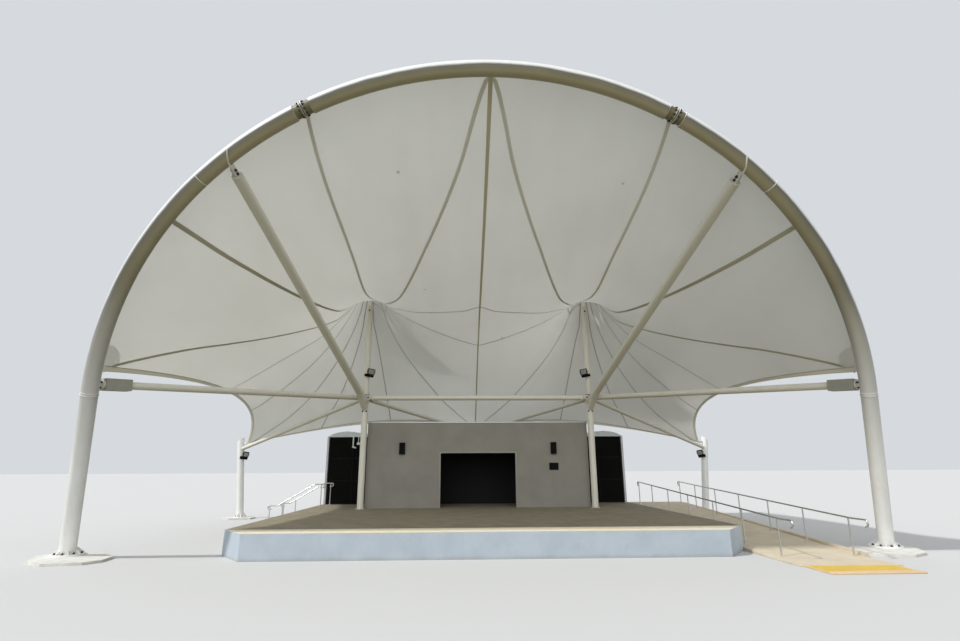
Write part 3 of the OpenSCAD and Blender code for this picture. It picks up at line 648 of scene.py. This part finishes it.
def edge_tangents():
    """Directions round the outline before and after each column, broken at the corners."""
    h = spans[:, None]
    d = (np.roll(NET, -1, 1) - NET) / h
    (d0, h0), (d00, h00), (d2, h2) = ((np.roll(d, k, 1), np.roll(h, k, 0)) for k in (1, 2, -1))
    t = (d0 * h + d * h0) / (h0 + h)
    one_in = d0 + (d0 - d00) * h0 / (h0 + h00)
    one_out = d + (d - d2) * h / (h + h2)
    w = np.zeros((N_RAD + 1, N_ALL, 1))
    w[:, list(CORNERS), 0] = ((np.arange(N_RAD + 1) / N_RAD) ** 6)[:, None]
    return t + (one_in - t) * w, t + (one_out - t) * w


T_IN, T_OUT = edge_tangents()


def rows_at(v):
    """Points of all net rows at places v round the outline: (rows, len(v), 3)."""
    v = np.asarray(v, float) % N_ALL
    j = np.floor(v).astype(int) % N_ALL
    k = (j + 1) % N_ALL
    t = (v - np.floor(v))[None, :, None]
    h = spans[j][None, :, None]
    return ((2 * t ** 3 - 3 * t ** 2 + 1) * NET[:, j] + (t ** 3 - 2 * t ** 2 + t) * h * T_OUT[:, j]
            + (3 * t ** 2 - 2 * t ** 3) * NET[:, k] + (t ** 3 - t ** 2) * h * T_IN[:, k])


def surface(u, v):
    """Points of the fabric at (u, v), both flat arrays of one length."""
    u, v = np.asarray(u, float), np.asarray(v, float)
    r = rows_at(v)
    seam = ((v % N_ALL) >= SEAM0) | ((v % N_ALL) < 1e-9)
    ghost = 3 * r[-1] - 3 * r[-2] + r[-3]
    ghost[seam] = r[-2][seam] * [-1, 1, 1]
    first = 3 * r[0] - 3 * r[1] + r[2]
    e = np.concatenate([first[None], r, ghost[None]])
    i = np.clip(np.floor(u).astype(int), 0, N_RAD - 1)
    t = (u - i)[:, None]
    c = np.arange(len(u))
    p0, p1, p2, p3 = e[i, c], e[i + 1, c], e[i + 2, c], e[i + 3, c]
    return .5 * (2 * p1 + (p2 - p0) * t + (2 * p0 - 5 * p1 + 4 * p2 - p3) * t ** 2
                 + (3 * p1 - p0 - 3 * p2 + p3) * t ** 3)


def normal(u, v):
    """Upward normal of the fabric at (u, v)."""
    u, v = np.asarray(u, float), np.asarray(v, float)
    d = .02
    a = surface(np.clip(u + d, 0, N_RAD), v) - surface(np.clip(u - d, 0, N_RAD), v)
    b = surface(u, v + d) - surface(u, v - d)
    n = np.cross(a, b)
    n /= np.linalg.norm(n, axis=1)[:, None] + 1e-12
    return np.where(n[:, 2:] < 0, -n, n)


def canopy_sheet(fine=4):
    """One closed thin sheet through both halves of the net."""
    us, vs = np.linspace(0, N_RAD, N_RAD * fine + 1), np.arange(N_ALL * fine) / fine
    u, v = (q.ravel() for q in np.meshgrid(us, vs, indexing="ij"))
    p, n = surface(u, v), normal(u, v)
    on_mid = (u == N_RAD) & ((v >= SEAM0) | (v == 0))
    n[on_mid, 0] = 0
    n /= np.linalg.norm(n, axis=1)[:, None]
    p[on_mid, 0] = 0
    count, cols = len(p), len(vs)
    other = np.arange(count) + count
    other[on_mid] = np.arange(count)[on_mid]
    both = np.concatenate([p, p * [-1, 1, 1]])
    upward = np.concatenate([n, n * [-1, 1, 1]])
    quads = [(i * cols + j, (i + 1) * cols + j, (i + 1) * cols + (j + 1) % cols,
              i * cols + (j + 1) % cols) for i in range(len(us) - 1) for j in range(cols)]
    quads += [tuple(int(other[x]) for x in reversed(q)) for q in quads]
    use = sorted({x for q in quads for x in q})
    to = {x: k for k, x in enumerate(use)}
    quads = [tuple(to[x] for x in q) for q in quads]
    both, upward = both[use], upward[use]
    m = len(both)
    edges = dict.fromkeys((q[k], q[(k + 1) % 4]) for q in quads for k in range(4))
    faces = quads + [tuple(x + m for x in reversed(q)) for q in quads]
    faces += [(b, a, a + m, b + m) for a, b in edges if (b, a) not in edges]
    # the faces turn outward: the quads' own side is the upper one or the lower one
    q = quads[0]
    up_first = np.cross(both[q[1]] - both[q[0]], both[q[2]] - both[q[0]])[2] > 0
    upper, lower = both - upward * TOP_IN, both - upward * UNDER_IN
    return np.concatenate([upper, lower] if up_first else [lower, upper]), faces


canopy = made("canopy", *canopy_sheet(), FABRIC, "fabric", sharp=60)
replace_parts(canopy, "canopy_front_left", "canopy_front_right", "canopy_side_left",
            "canopy_side_right", "canopy_rear_left", "canopy_rear_right")

# ---------------------------------------------------------------- seams on the fabric

# the left half as triangles, to find the places that the photo shows
us, vs = np.linspace(0, N_RAD, N_RAD * 3 + 1), np.linspace(0, N_ALL, N_ALL * 3 + 1)
GU, GV = (q.ravel() for q in np.meshgrid(us, vs, indexing="ij"))
left = surface(GU, GV) * [-1, 1, 1]
tri = []
for i in range(len(us) - 1):
    for a in range(i * len(vs), (i + 1) * len(vs) - 1):
        tri += [(a, a + 1, a + len(vs) + 1), (a, a + len(vs) + 1, a + len(vs))]
tree = BVHTree.FromPolygons([tuple(p) for p in left], tri)


def place_of(x, y):
    """(u, v) on the left half of the fabric at that place of the photo, None beside it."""
    hit, _, k, _ = tree.ray_cast(CAM, pixel_ray(x, y))
    if hit is None:
        return None
    a, b, c = (Vector(left[i]) for i in tri[k])
    n = (b - a).cross(c - a)
    w = [((c - b).cross(hit - b)).dot(n), ((a - c).cross(hit - c)).dot(n),
         ((b - a).cross(hit - a)).dot(n)]
    return tuple(sum(w[i] * g[tri[k][i]] for i in range(3)) / sum(w) for g in (GU, GV))


def strip(kit, rows, flip=False):
    """Faces between neighbouring rows of points of one length."""
    m = len(rows[0])
    f = [(a * m + k, a * m + k + 1, (a + 1) * m + k + 1, (a + 1) * m + k)
         for a in range(len(rows) - 1) for k in range(m - 1)]
    kit.add(np.concatenate(rows), [tuple(reversed(q)) for q in f] if flip else f)


def ribbon(kit, uv, width, lift=.0025, under_from=0.):
    """Welded strip on both faces of the fabric along places uv, with a width per end."""
    p, n = surface(uv[:, 0], uv[:, 1]), normal(uv[:, 0], uv[:, 1])
    side = np.cross(n, np.gradient(p, axis=0))
    side /= np.linalg.norm(side, axis=1)[:, None] + 1e-12
    half = side * (np.linspace(*width, len(p))[:, None] / 2)
    for depth, s in SKINS:
        keep = uv[:, 0] >= (under_from if s > 0 else 0)
        low, out, h = (q[keep] for q in (p - n * depth, p - n * (depth + s * lift), half))
        strip(kit, [low - h, out - h * .9, out + h * .9, low + h], s < 0)


def seam_uv(pixels, order=4, n=90):
    """Places along a seam from picture points, run on to ring and hem, and its lowest u."""
    uv = np.array([q for q in (place_of(*p) for p in pixels) if q is not None])
    v = np.unwrap(uv[:, 1] * 2 * math.pi / N_ALL) * N_ALL / (2 * math.pi)
    k = min(order, len(uv) - 2)
    fit = np.polynomial.Polynomial.fit(uv[:, 0], v, k, w=.1 + uv[:, 0] / N_RAD)
    u = np.linspace(0, N_RAD, n)
    return np.stack([u, fit(np.clip(u, uv[:, 0].min(), uv[:, 0].max()))], 1), uv[:, 0].min()


# seams as places in the photo, in pixels
CROWN = [(486, 77), (484.3, 85), (480, 102), (475, 120), (470, 136), (460, 159.5), (450, 188),
         (440, 214.5), (430, 240), (420, 261.5), (410, 281), (400, 296), (393, 302)]
SIDE = [(171, 220.5), (180, 226), (200, 238.5), (220, 252), (240, 264.5), (260, 276), (280, 286.5),
        (295, 294), (310, 301.5), (320, 306), (330, 309), (340, 311)]
SPLIT = [(309, 122), (331, 201), (340, 220), (347, 240), (354, 262), (362, 285), (369, 303)]
LOWER = [(115, 365), (209, 347), (240, 342), (260, 339.3), (280, 335.5), (300, 331.5), (314, 328),
         (325, 324.5), (337, 320)]
FAN = [
    [(233, 388), (260, 373), (280, 361), (300, 350), (320, 338), (330, 330), (337, 323)],
    [(252, 410), (260, 405), (273, 396), (281, 391), (300, 375), (320, 357), (332, 342),
     (345, 325), (352, 313)],
    [(254, 441), (260, 437.5), (280, 424), (300, 408), (314, 393), (335, 365), (350, 338),
     (358, 320), (361, 310)],
    [(322, 430), (327, 417), (338, 400), (341, 394), (350, 372), (355, 357), (360, 340),
     (364, 320)],
    [(391, 421), (389, 410), (387, 397), (385, 385), (380, 355), (374, 325)],
    [(465, 420.5), (450, 407), (439, 396), (430, 387), (420, 374), (410, 360), (400, 347),
     (395, 338), (389, 325)],
    [(477, 345), (470, 343.5), (460, 340.5), (450, 337), (440, 333), (430, 329.5), (420, 325),
     (410, 320), (400, 314)],
    [(480, 308.7), (470, 309.7), (450, 311.8), (430, 312.5), (420, 312.3), (410, 311.5),
     (400, 309)],
]
light, wide, thin = Kit(), Kit(), Kit()
for kit, line, width in ((light, CROWN, (.05, .105)), (light, SPLIT, (.05, .09)),
                         (wide, SIDE, (.05, .125)), (wide, LOWER, (.04, .09)),
                         *((thin, q, (.03, .036)) for q in FAN)):
    uv, low = seam_uv(line)
    ribbon(kit, uv, width, under_from=low if kit is light else 0)
# second layer of fabric in the front corners, with a round edge
corner = [place_of(105 + 15 * math.cos(a), 358 + 13.5 * math.sin(a))
          for a in np.linspace(-1.4, .85, 40)]
corner = np.array(sorted((q for q in corner if q), key=lambda q: q[1]))
us = np.linspace(corner[:, 0], N_RAD, 10)
vs = np.broadcast_to(corner[:, 1], us.shape)
drop = np.full((us.size, 1), UNDER_IN + .0011)
drop[:len(corner)] = UNDER_IN
patch = Kit()
strip(patch, (surface(us.ravel(), vs.ravel())
              - normal(us.ravel(), vs.ravel()) * drop).reshape(*us.shape, 3))
patch.mirror().make("canopy_corner_patches", FABRIC, "fabric")
light.mirror().make("canopy_seams_upper", SEAM_LIGHT, "fabric")
# seam between the two halves, wide at the arch
n = 120
v = np.linspace(SEAM0 + .02, N_ALL - .02, n)
ridge = surface(np.full(n, N_RAD), v)
ridge[:, 0] = 0
upward = normal(np.full(n, N_RAD - .01), v)
upward[:, 0] = 0
upward /= np.linalg.norm(upward, axis=1)[:, None]
half = np.interp(v, [SEAM0, SADDLE, SADDLE + 2, N_ALL], [.022, .026, .04, .058])
half = half[:, None] * [1., 0, 0]
main = Kit()
for depth, s in SKINS:
    low, out = ridge - upward * depth, ridge - upward * (depth + s * .005)
    strip(main, [low - half, out - half * .8, out + half * .8, low + half], s > 0)
main.make("canopy_ridge_seam", SEAM_MAIN, "fabric")
wide.mirror().make("canopy_seams", SEAM, "fabric")
thin.mirror().make("canopy_seams_thin", SEAM_THIN, "fabric")

# hem bands along the scalloped edges
HEM_U = .12
hem, stitch = Kit(), Kit()
for v0, v1, n in ((16.02, 26.98, 90), (27.02, 35.98, 80)):
    v = np.linspace(v0, v1, n)
    ribbon(stitch, np.stack([np.full(n, N_RAD - HEM_U), v], 1), (.022, .022), .005)
    for depth, s in SKINS:
        rows = []
        for off, lift in ((0, .001), (0, .004), (-HEM_U, .004), (-HEM_U * 1.03, 0)):
            u = np.full(n, N_RAD + off)
            rows.append(surface(u, v)
                        - normal(np.minimum(u, N_RAD - .02), v) * (depth + s * lift))
        strip(hem, rows, s < 0)
hem.mirror().make("canopy_hems", HEM, "fabric")
stitch.mirror().make("canopy_hem_stitching", SEAM, "fabric")

# ---------------------------------------------------------------- steel fittings

steel, cream, core, dull = Kit(), Kit(), Kit(), Kit()
# heights of the pads' tops, of the masts' strut joint and of the stage
PAD_TOP, JOINT_Z, STAGE_TOP = .0997, 4.92, .623


def crown_dir(a):
    return Vector(crown_pt(a + .01) - crown_pt(a - .01)).normalized()


# bolted splices of the arch: core, end rings and a pair of flanges
joint = Kit()
mid, along = Vector(crown_pt(SPLICE)), crown_dir(SPLICE)
half_len = math.radians(1.24) * CROWN_R
# the core's dark colour is painted shade
core.rod(mid - along * half_len, mid + along * half_len, .325, 48)
for s in (-1, 1):
    joint.rod(mid + along * s * (half_len - .02), mid + along * s * half_len, .379, 48, .003)
    joint.rod(mid + along * s * .013, mid + along * s * .036, .398, 48, .004)
    dull.bolts(mid + along * s * .036, along * s, .172, 10, .042, .04)
joint.mirror().make("splice_flanges", STEEL_ARCH, "steel")
splice = core.mirror().make("splice_cores", STEEL_CORE_SHADED, "steel")
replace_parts(splice, "arch_splices")

# weld beads round the arch, base plates with gussets and anchor nuts
leg_dir = Vector(arch_at(-math.sin(TILT), math.cos(TILT)) - arch_at(0, 0))
for p, d in ((side_pt(side_end), crown_dir(CROWN_HALF)), (arch_at(leg_u, leg_v), leg_dir)):
    steel.hoop(p, d, TUBE - .001, .007, 56)
foot = Vector((10.62, -7.17, PAD_TOP))
steel.gussets(foot, 8, .12, .35, .15, .02, .2)
dull.bolts(foot, (0, 0, 1), .305, 8, .05, .034, .2 + math.pi / 8)
post = Vector((10.6, 3.75, PAD_TOP))
steel.gussets(post, 8, .1, .25, .17, .016, .2)
dull.bolts(post, (0, 0, 1), .215, 8, .034, .024, .2 + math.pi / 8)
steel.mirror()
rear = Vector((0, 5.48, PAD_TOP))
steel.gussets(rear, 6, .09, .22, .14, .014)
dull.bolts(rear, (0, 0, 1), .19, 6, .03, .022, math.pi / 6)
steel.make("base_gussets_and_welds", STEEL, "steel")

# masts: base nuts, shoulder, pinned head, clamp at the strut joint, flanges of the beam
dull.bolts((MAST, 0, .6473), (0, 0, 1), .148, 6, .02, .015)
cream.sweep([(MAST, 0, 8.74), (MAST, 0, 8.8), (MAST, 0, 8.86)], [.129, .129, .09], 40)
cream.hoop((MAST, 0, 8.735), (0, 0, 1), .127, .006)
for s in (-1, 1):
    dull.bolt((MAST, s * .124, 8.62), (0, s, 0), .055, .03)
    dull.bolt((MAST, s * .083, 9.12), (0, s, 0), .03, .02)
    cream.hoop((MAST, 0, JOINT_Z + s * .228), (0, 0, 1), .153, .008)
    for y in (-.165, .165):
        x = MAST + s * .135
        cream.box((x - .05, y - .03, 4.83), (x + .05, y + .03, 5.01), .005)
        dull.bolt((x, y * 1.18, JOINT_Z), (0, y, 0), .055, .034)
for s in (-1, 1):
    dull.bolts((4.295 + s * .025, 0, JOINT_Z), (s, 0, 0), .13, 8, .022, .016)
# thin dark plates on top of the clamps: a painted shadow line along their top edge
for y in (-.165, .165):
    dull.box((MAST - .19, y - .035, 5.011), (MAST + .19, y + .035, 5.036), .004)
cream.rod((4.27, 0, JOINT_Z), (4.245, 0, JOINT_Z), .302, 40, .003)
# raking struts: lug under the lower end, forked plates and big pins at the arch
a = Vector((6.25, -10.77, 9.25))
b = Vector((MAST, 0, 4.73))
u = (b - a).normalized()
turned = math.atan2(u.y, u.x)
m = (Matrix.Translation(a) @ Matrix.Rotation(turned, 4, "Z")
     @ Matrix.Rotation(math.acos(u.z), 4, "Y"))
for s in (-1, 1):
    cream.plate(m @ Matrix.Translation((0, s * .026, 0)),
                [(-.075, .33), (-.05, .30), (.05, .30), (.075, .33), (.075, .60), (-.075, .60)],
                .018)
    for z in (.375, .475):
        dull.bolt(m @ Vector((0, s * .035, z)), m.to_3x3() @ Vector((0, s, 0)), .062, .034)
# stiffener round a part of the tube beside the fork, nearly in the plane of the strut
skew = turned - .26
flat = np.array([-math.sin(skew), math.cos(skew), 0])
inward = np.array([math.cos(skew), math.sin(skew), 0])
way = min(np.linspace(SPLICE * CROWN_R, side_way(7.9), 1500),
          key=lambda q: abs((arch_way(q) - np.array(a)) @ flat)) - .11
o, d = arch_way(way), arch_way(way + .01) - arch_way(way)
n = 26
turns = np.radians(np.linspace(-180, -66, n))
ray = np.outer(np.cos(turns), inward) + np.outer(np.sin(turns), [0, 0, 1])
ray *= np.linalg.norm(d) / np.linalg.norm(np.cross(ray, d), axis=1)[:, None]
near, far, thick = o + ray * (TUBE - .004), o + ray * (TUBE + .04), flat * .011
cream.add(np.concatenate([near - thick, far - thick, far + thick, near + thick]),
          [(i * n + k, i * n + k + 1, (i + 1) % 4 * n + k + 1, (i + 1) % 4 * n + k)
           for i in range(4) for k in range(n - 1)]
          + [tuple(range(0, 4 * n, n)), tuple(range(4 * n - 1, 0, -n))])
away = Vector((-u.x, -u.y, 0)).normalized()
low = Vector((MAST, 0, 4.5)) + away * .1
cream.sweep([b - u * 1.1, b - u * .8, b - u * .62 - Vector((0, 0, .03)),
             (b - u * .62) * .5 + low * .5 - Vector((0, 0, .03)), low],
            [.139, .143, .143, .139, .118], 32)
cream.hoop(b - u * .8, u, .141, .006)
dull.bolt((MAST + .07, -.11, 4.37), (.5, -.86, 0), .05, .03)
dull.bolt((MAST - .07, -.11, 4.37), (-.5, -.86, 0), .05, .03)
# side struts: pins through the fin beside the arch
a = Vector(side_pt(side_angle(4.17)))
b = Vector((MAST, 0, JOINT_Z))
u = (b - a).normalized()
m = Matrix.Translation(a) @ Matrix.Rotation(math.atan2(u.y, u.x), 4, "Z")
for s in (-1, 1):
    for z in (-.07, .07):
        dull.bolt(m @ Vector((.222, s * .012, z)), m.to_3x3() @ Vector((0, s, 0)), .036, .024)
cream.mirror().make("mast_and_strut_fittings", STEEL_CREAM, "steel")

# rings of the cones: clamping bar with bolts over the fabric, collar below the cap
for k in range(24):
    t0 = 2 * math.pi * k / 24
    dull.bolt((MAST + .437 * math.cos(t0), .437 * math.sin(t0), 9.362), (0, 0, 1), .022, .014)
clamp = Kit()
clamp.hoop((MAST, 0, 9.354), (0, 0, 1), .437, .011, 64)
clamp.hoop((MAST, 0, 9.575), (0, 0, 1), .366, .012, 56)
clamp.sweep([(MAST, 0, 11.26), (MAST, 0, 11.275), (MAST, 0, 11.29)], [.031, .024, .006], 20)
clamp.mirror().make("ring_clamps", STEEL, "steel")
dull.mirror().make("anchor_nuts_and_bolts", BOLT, "steel")

# ---------------------------------------------------------------- floodlights

shell, pane = Kit(), Kit()


def lamp(c, facing, w, h, d, hold, roll):
    """Housing w by h by d behind c, with frame, pane, fins, arms, hood and stem to hold."""
    m, x, y = at(c, facing, roll), w / 2, h / 2
    shell.box((-x, -y, -d), (x, y, 0), .012, m)
    for lo, hi in (((-x, y - .026), (x, y)), ((-x, -y), (x, .026 - y)),
                   ((-x, -y), (.026 - x, y)), ((x - .026, -y), (x, y))):
        shell.box((*lo, -.002), (*hi, .012), .003, m)
    pane.box((.028 - x, .028 - y, -.001), (x - .028, y - .028, .006), .001, m)
    for k in range(9):
        fin = (k - 4) * w / 10
        shell.box((fin - .004, -h * .42, -d - .03), (fin + .004, h * .42, -d + .005), .001, m)
    for s in (-1, 1):
        arm = s * (x + .006)
        shell.box((arm - .004, -.02, -d - .07), (arm + .004, .02, -.02), .002, m)
        shell.bolt(m @ Vector((s * (x + .01), 0, -.045)), m.to_3x3() @ Vector((s, 0, 0)),
                   .026, .014)
    shell.box((-x - .01, -.02, -d - .078), (x + .01, .02, -d - .068), .003, m)
    shell.box((-w * .45, -y - .11, -d * 1.2), (x + .09, -y - .003, .02), .012, m)
    shell.sweep([m @ Vector((0, 0, -d - .07)), Vector(hold)], .022, 14)


lamp((4.38, -.2, 5.97), (-.3, -.9, -.2), .29, .24, .08, (4.5, -.02, 5.95), .17)
lamp((10.56, 3.60, 2.78), (-.4, -.85, -.25), .25, .23, .09, (10.75, 3.75, 2.74), .17)
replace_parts(shell.mirror().make("lamp_housings", FIXTURE, "black"), "floodlights")
pane.mirror().make("lamp_panes", GLASS, "black")

# ---------------------------------------------------------------- room, stage, rails

trim, frames, cap, nose = Kit(), Kit(), Kit(), Kit()
for lo, hi in (((-1.565, .256, .6235), (-1.513, .2755, 2.775)),
               ((1.513, .256, .6235), (1.565, .2755, 2.775)),
               ((-1.5129, .256, 2.7232), (1.5129, .2755, 2.775))):
    trim.box(lo, hi, .003)
trim.make("opening_trim", RENDER_PALE, "render")
cap.box((-4.49, .252, 3.9605), (4.49, .50, 3.975), .004)
cap.box((-4.49, .252, 3.93), (4.49, .264, 3.9605), .002)
for k in range(9):
    x = -4.2 + k * 1.05
    cap.box((x - .015, .49, 3.8505), (x + .015, 3.05, 3.885), .004)
for s in (-1, 1):
    for k in range(7):
        x = s * (4.62 + .31 * k)
        z = float(np.interp(abs(x), [4.49, 5.19, 5.74, 5.99, 6.31, 6.56, 6.75],
                            [3.61, 3.69, 3.76, 3.76, 3.715, 3.63, 3.53]))
        cap.box((x - .012, 2.95, z - .012), (x + .012, 4.45, z + .022), .004)
cap.make("roof_flashings", GALV, "galv")
for s in (-1, 1):
    for x in (4.515, 5.56, 6.605):
        frames.box((s * x - .025, 2.955, .6235), (s * x + .025, 3.055, 3.519), .004)
    for z in (.65, 1.62, 2.58, 3.49):
        frames.box((min(s * 4.5, s * 6.62), 2.965, z - .024),
                   (max(s * 4.5, s * 6.62), 3.045, z + .024), .003)
    for z in (.95, 2.1, 3.3):
        frames.box((s * 6.69 - .03 - .03 * s, 2.985, z - .04),
                   (s * 6.69 + .03 - .03 * s, 3.025, z + .04), .004)
frames.make("screen_frames", SCREEN_FRAME, "black")
lens = Kit()
for s in (-1, 1):
    x = s * 3.07
    for z in (2.70, 3.12):
        lens.box((x - .114, .140, z - .02), (x + .114, .2755, z + .02), .004)
    for k in range(6):
        lens.box((x - .1, .138, 2.76 + k * .06), (x + .1, .1462, 2.775 + k * .06), .002)
for lo, hi in (((2.88, 2.05), (3.25, 2.066)), ((2.88, 2.314), (3.25, 2.33)),
               ((2.88, 2.066), (2.896, 2.314)), ((3.234, 2.066), (3.25, 2.314))):
    lens.box((lo[0], .250, lo[1]), (hi[0], .2755, hi[1]), .002)
lens.make("light_and_plaque_frames", FIXTURE, "black")
for k in range(3):
    x, z = -6.8005 - .33 * (k + 1), STAGE_TOP - .15575 * (k + 1)
    nose.box((x - .004, 1.16, z - .03), (x + .045, 2.69, z + .005), .003)
nose.box((-6.803, 1.16, .593), (-6.755, 2.69, .628), .003)
nose.make("step_nosings", NOSING, "concrete")

fix = Kit()
fix.box((-5.585, 2.86, 3.10), (-5.535, 2.91, 3.5195), .006)
fix.box((-5.585, 2.76, 3.05), (-5.50, 2.91, 3.10), .01)
fix.rod((-5.53, 2.80, 3.07), (-5.40, 2.66, 3.03), .07, 20, .01)
fix.box((-5.36, 2.66, 3.16), (-5.23, 2.76, 3.27), .012)
fix.rod((-5.295, 2.71, 3.27), (-5.295, 2.71, 3.5195), .03, 12)
fix.make("watch_camera_bracket", STEEL, "steel")

# the ramp falls from the stage's level to the ground over RAMP_RUN, ending at RAMP_END
RAMP_RUN, RAMP_END = 11, 8.4
feet = Kit()


def rail_foot(p, n, sink=0.):
    """Flange, collar and bolts of a rail post on p, square to n."""
    feet.rod(p - n * sink, p + n * .008, .12, 24, .002)
    feet.rod(p + n * .008, p + n * .03, .062, 20, .004)
    feet.bolts(p + n * .008, n, .046, 4, .014, .009, .4)


grade = math.atan(STAGE_TOP / RAMP_RUN)
for x, ys in ((7.14, (2.35, .7, -1.05, -2.9, -4.8, -6.57, -8.3)),
              (8.95, (2.35, .75, -1.05, -2.85, -4.67, -6.45, -8.3))):
    for y in ys:
        rail_foot(Vector((x, y, STAGE_TOP * (y + RAMP_END) / RAMP_RUN)),
                  Vector((0, -math.sin(grade), math.cos(grade))), .002)
for y in (1.11, 2.74):
    for x, z in ((-6.41, STAGE_TOP), (-7.88, 0), (-8.43, 0)):
        rail_foot(Vector((x, y, z)), Vector((0, 0, 1)))
feet.make("rail_base_flanges", STAINLESS, "galv")

border = Kit()
for lo, hi in (((6.896, -10.504), (8.904, -10.26)), ((6.896, -10.2598), (6.93, -9.601)),
               ((8.87, -10.2598), (8.904, -9.601))):
    border.box((*lo, .0005), (*hi, .0285), .0015)
border.make("tactile_edge_strip", TACTILE_EDGE, "tactile")
studs = Kit()
for i in range(39):
    for j in range(13):
        x, y = 6.95 + .05 * i, -9.63 - .05 * j
        studs.sweep([(x, y, .0235), (x, y, .0275), (x, y, .0295)], [.0155, .0145, .010], 8)
studs.make("tactile_studs", TACTILE, "tactile")

# ---------------------------------------------------------------- floor, light, finish

floor = bpy.data.objects.new("floor", bpy.data.meshes.new("floor"))
floor.data.from_pydata([(-400, -400, -.002), (400, -400, -.002), (400, 400, -.002),
                        (-400, 400, -.002)], [], [(0, 1, 2, 3)])
bpy.context.scene.collection.objects.link(floor)
m, t, b = principled("pale_floor")
lp = node(t, "LightPath")
t.links.new(mix(t, lp.outputs["Is Camera Ray"], (.28, .28, .25), (.62, .62, .61)),
            b.inputs["Base Color"])
b.inputs["Roughness"].default_value = .95
floor.data.materials.append(m)

world = bpy.data.worlds.new("studio")
bpy.context.scene.world = world
world.use_nodes = True
t = world.node_tree
t.nodes.clear()
# the first background lights the object, the second is seen, in metal and glass too
shader, path = node(t, "MixShader"), node(t, "LightPath")
for k, colour, strength in ((1, (.93, .96, 1, 1), .66), (2, (.67, .70, .73, 1), 1)):
    sky = node(t, "Background")
    sky.inputs[0].default_value = colour
    sky.inputs[1].default_value = strength
    t.links.new(sky.outputs[0], shader.inputs[k])
t.links.new(math_node(t, "MAXIMUM", path.outputs["Is Camera Ray"],
                      math_node(t, "MAXIMUM", path.outputs["Is Glossy Ray"],
                                path.outputs["Is Transmission Ray"])), shader.inputs[0])
t.links.new(shader.outputs[0], node(t, "OutputWorld").inputs[0])


def sun(name, direction, power, angle):
    d = bpy.data.lights.new(name, "SUN")
    d.energy = power
    d.angle = math.radians(angle)
    o = bpy.data.objects.new(name, d)
    o.rotation_mode = "QUATERNION"
    o.rotation_quaternion = Vector(direction).to_track_quat("-Z", "Y")
    bpy.context.scene.collection.objects.link(o)


sun("sun_key", (.92, .40, -1), 2.45, 3)
sun("fill_front", (.05, 1, -.1), 1.25, 60)

bpy.context.scene.view_settings.view_transform = "Standard"
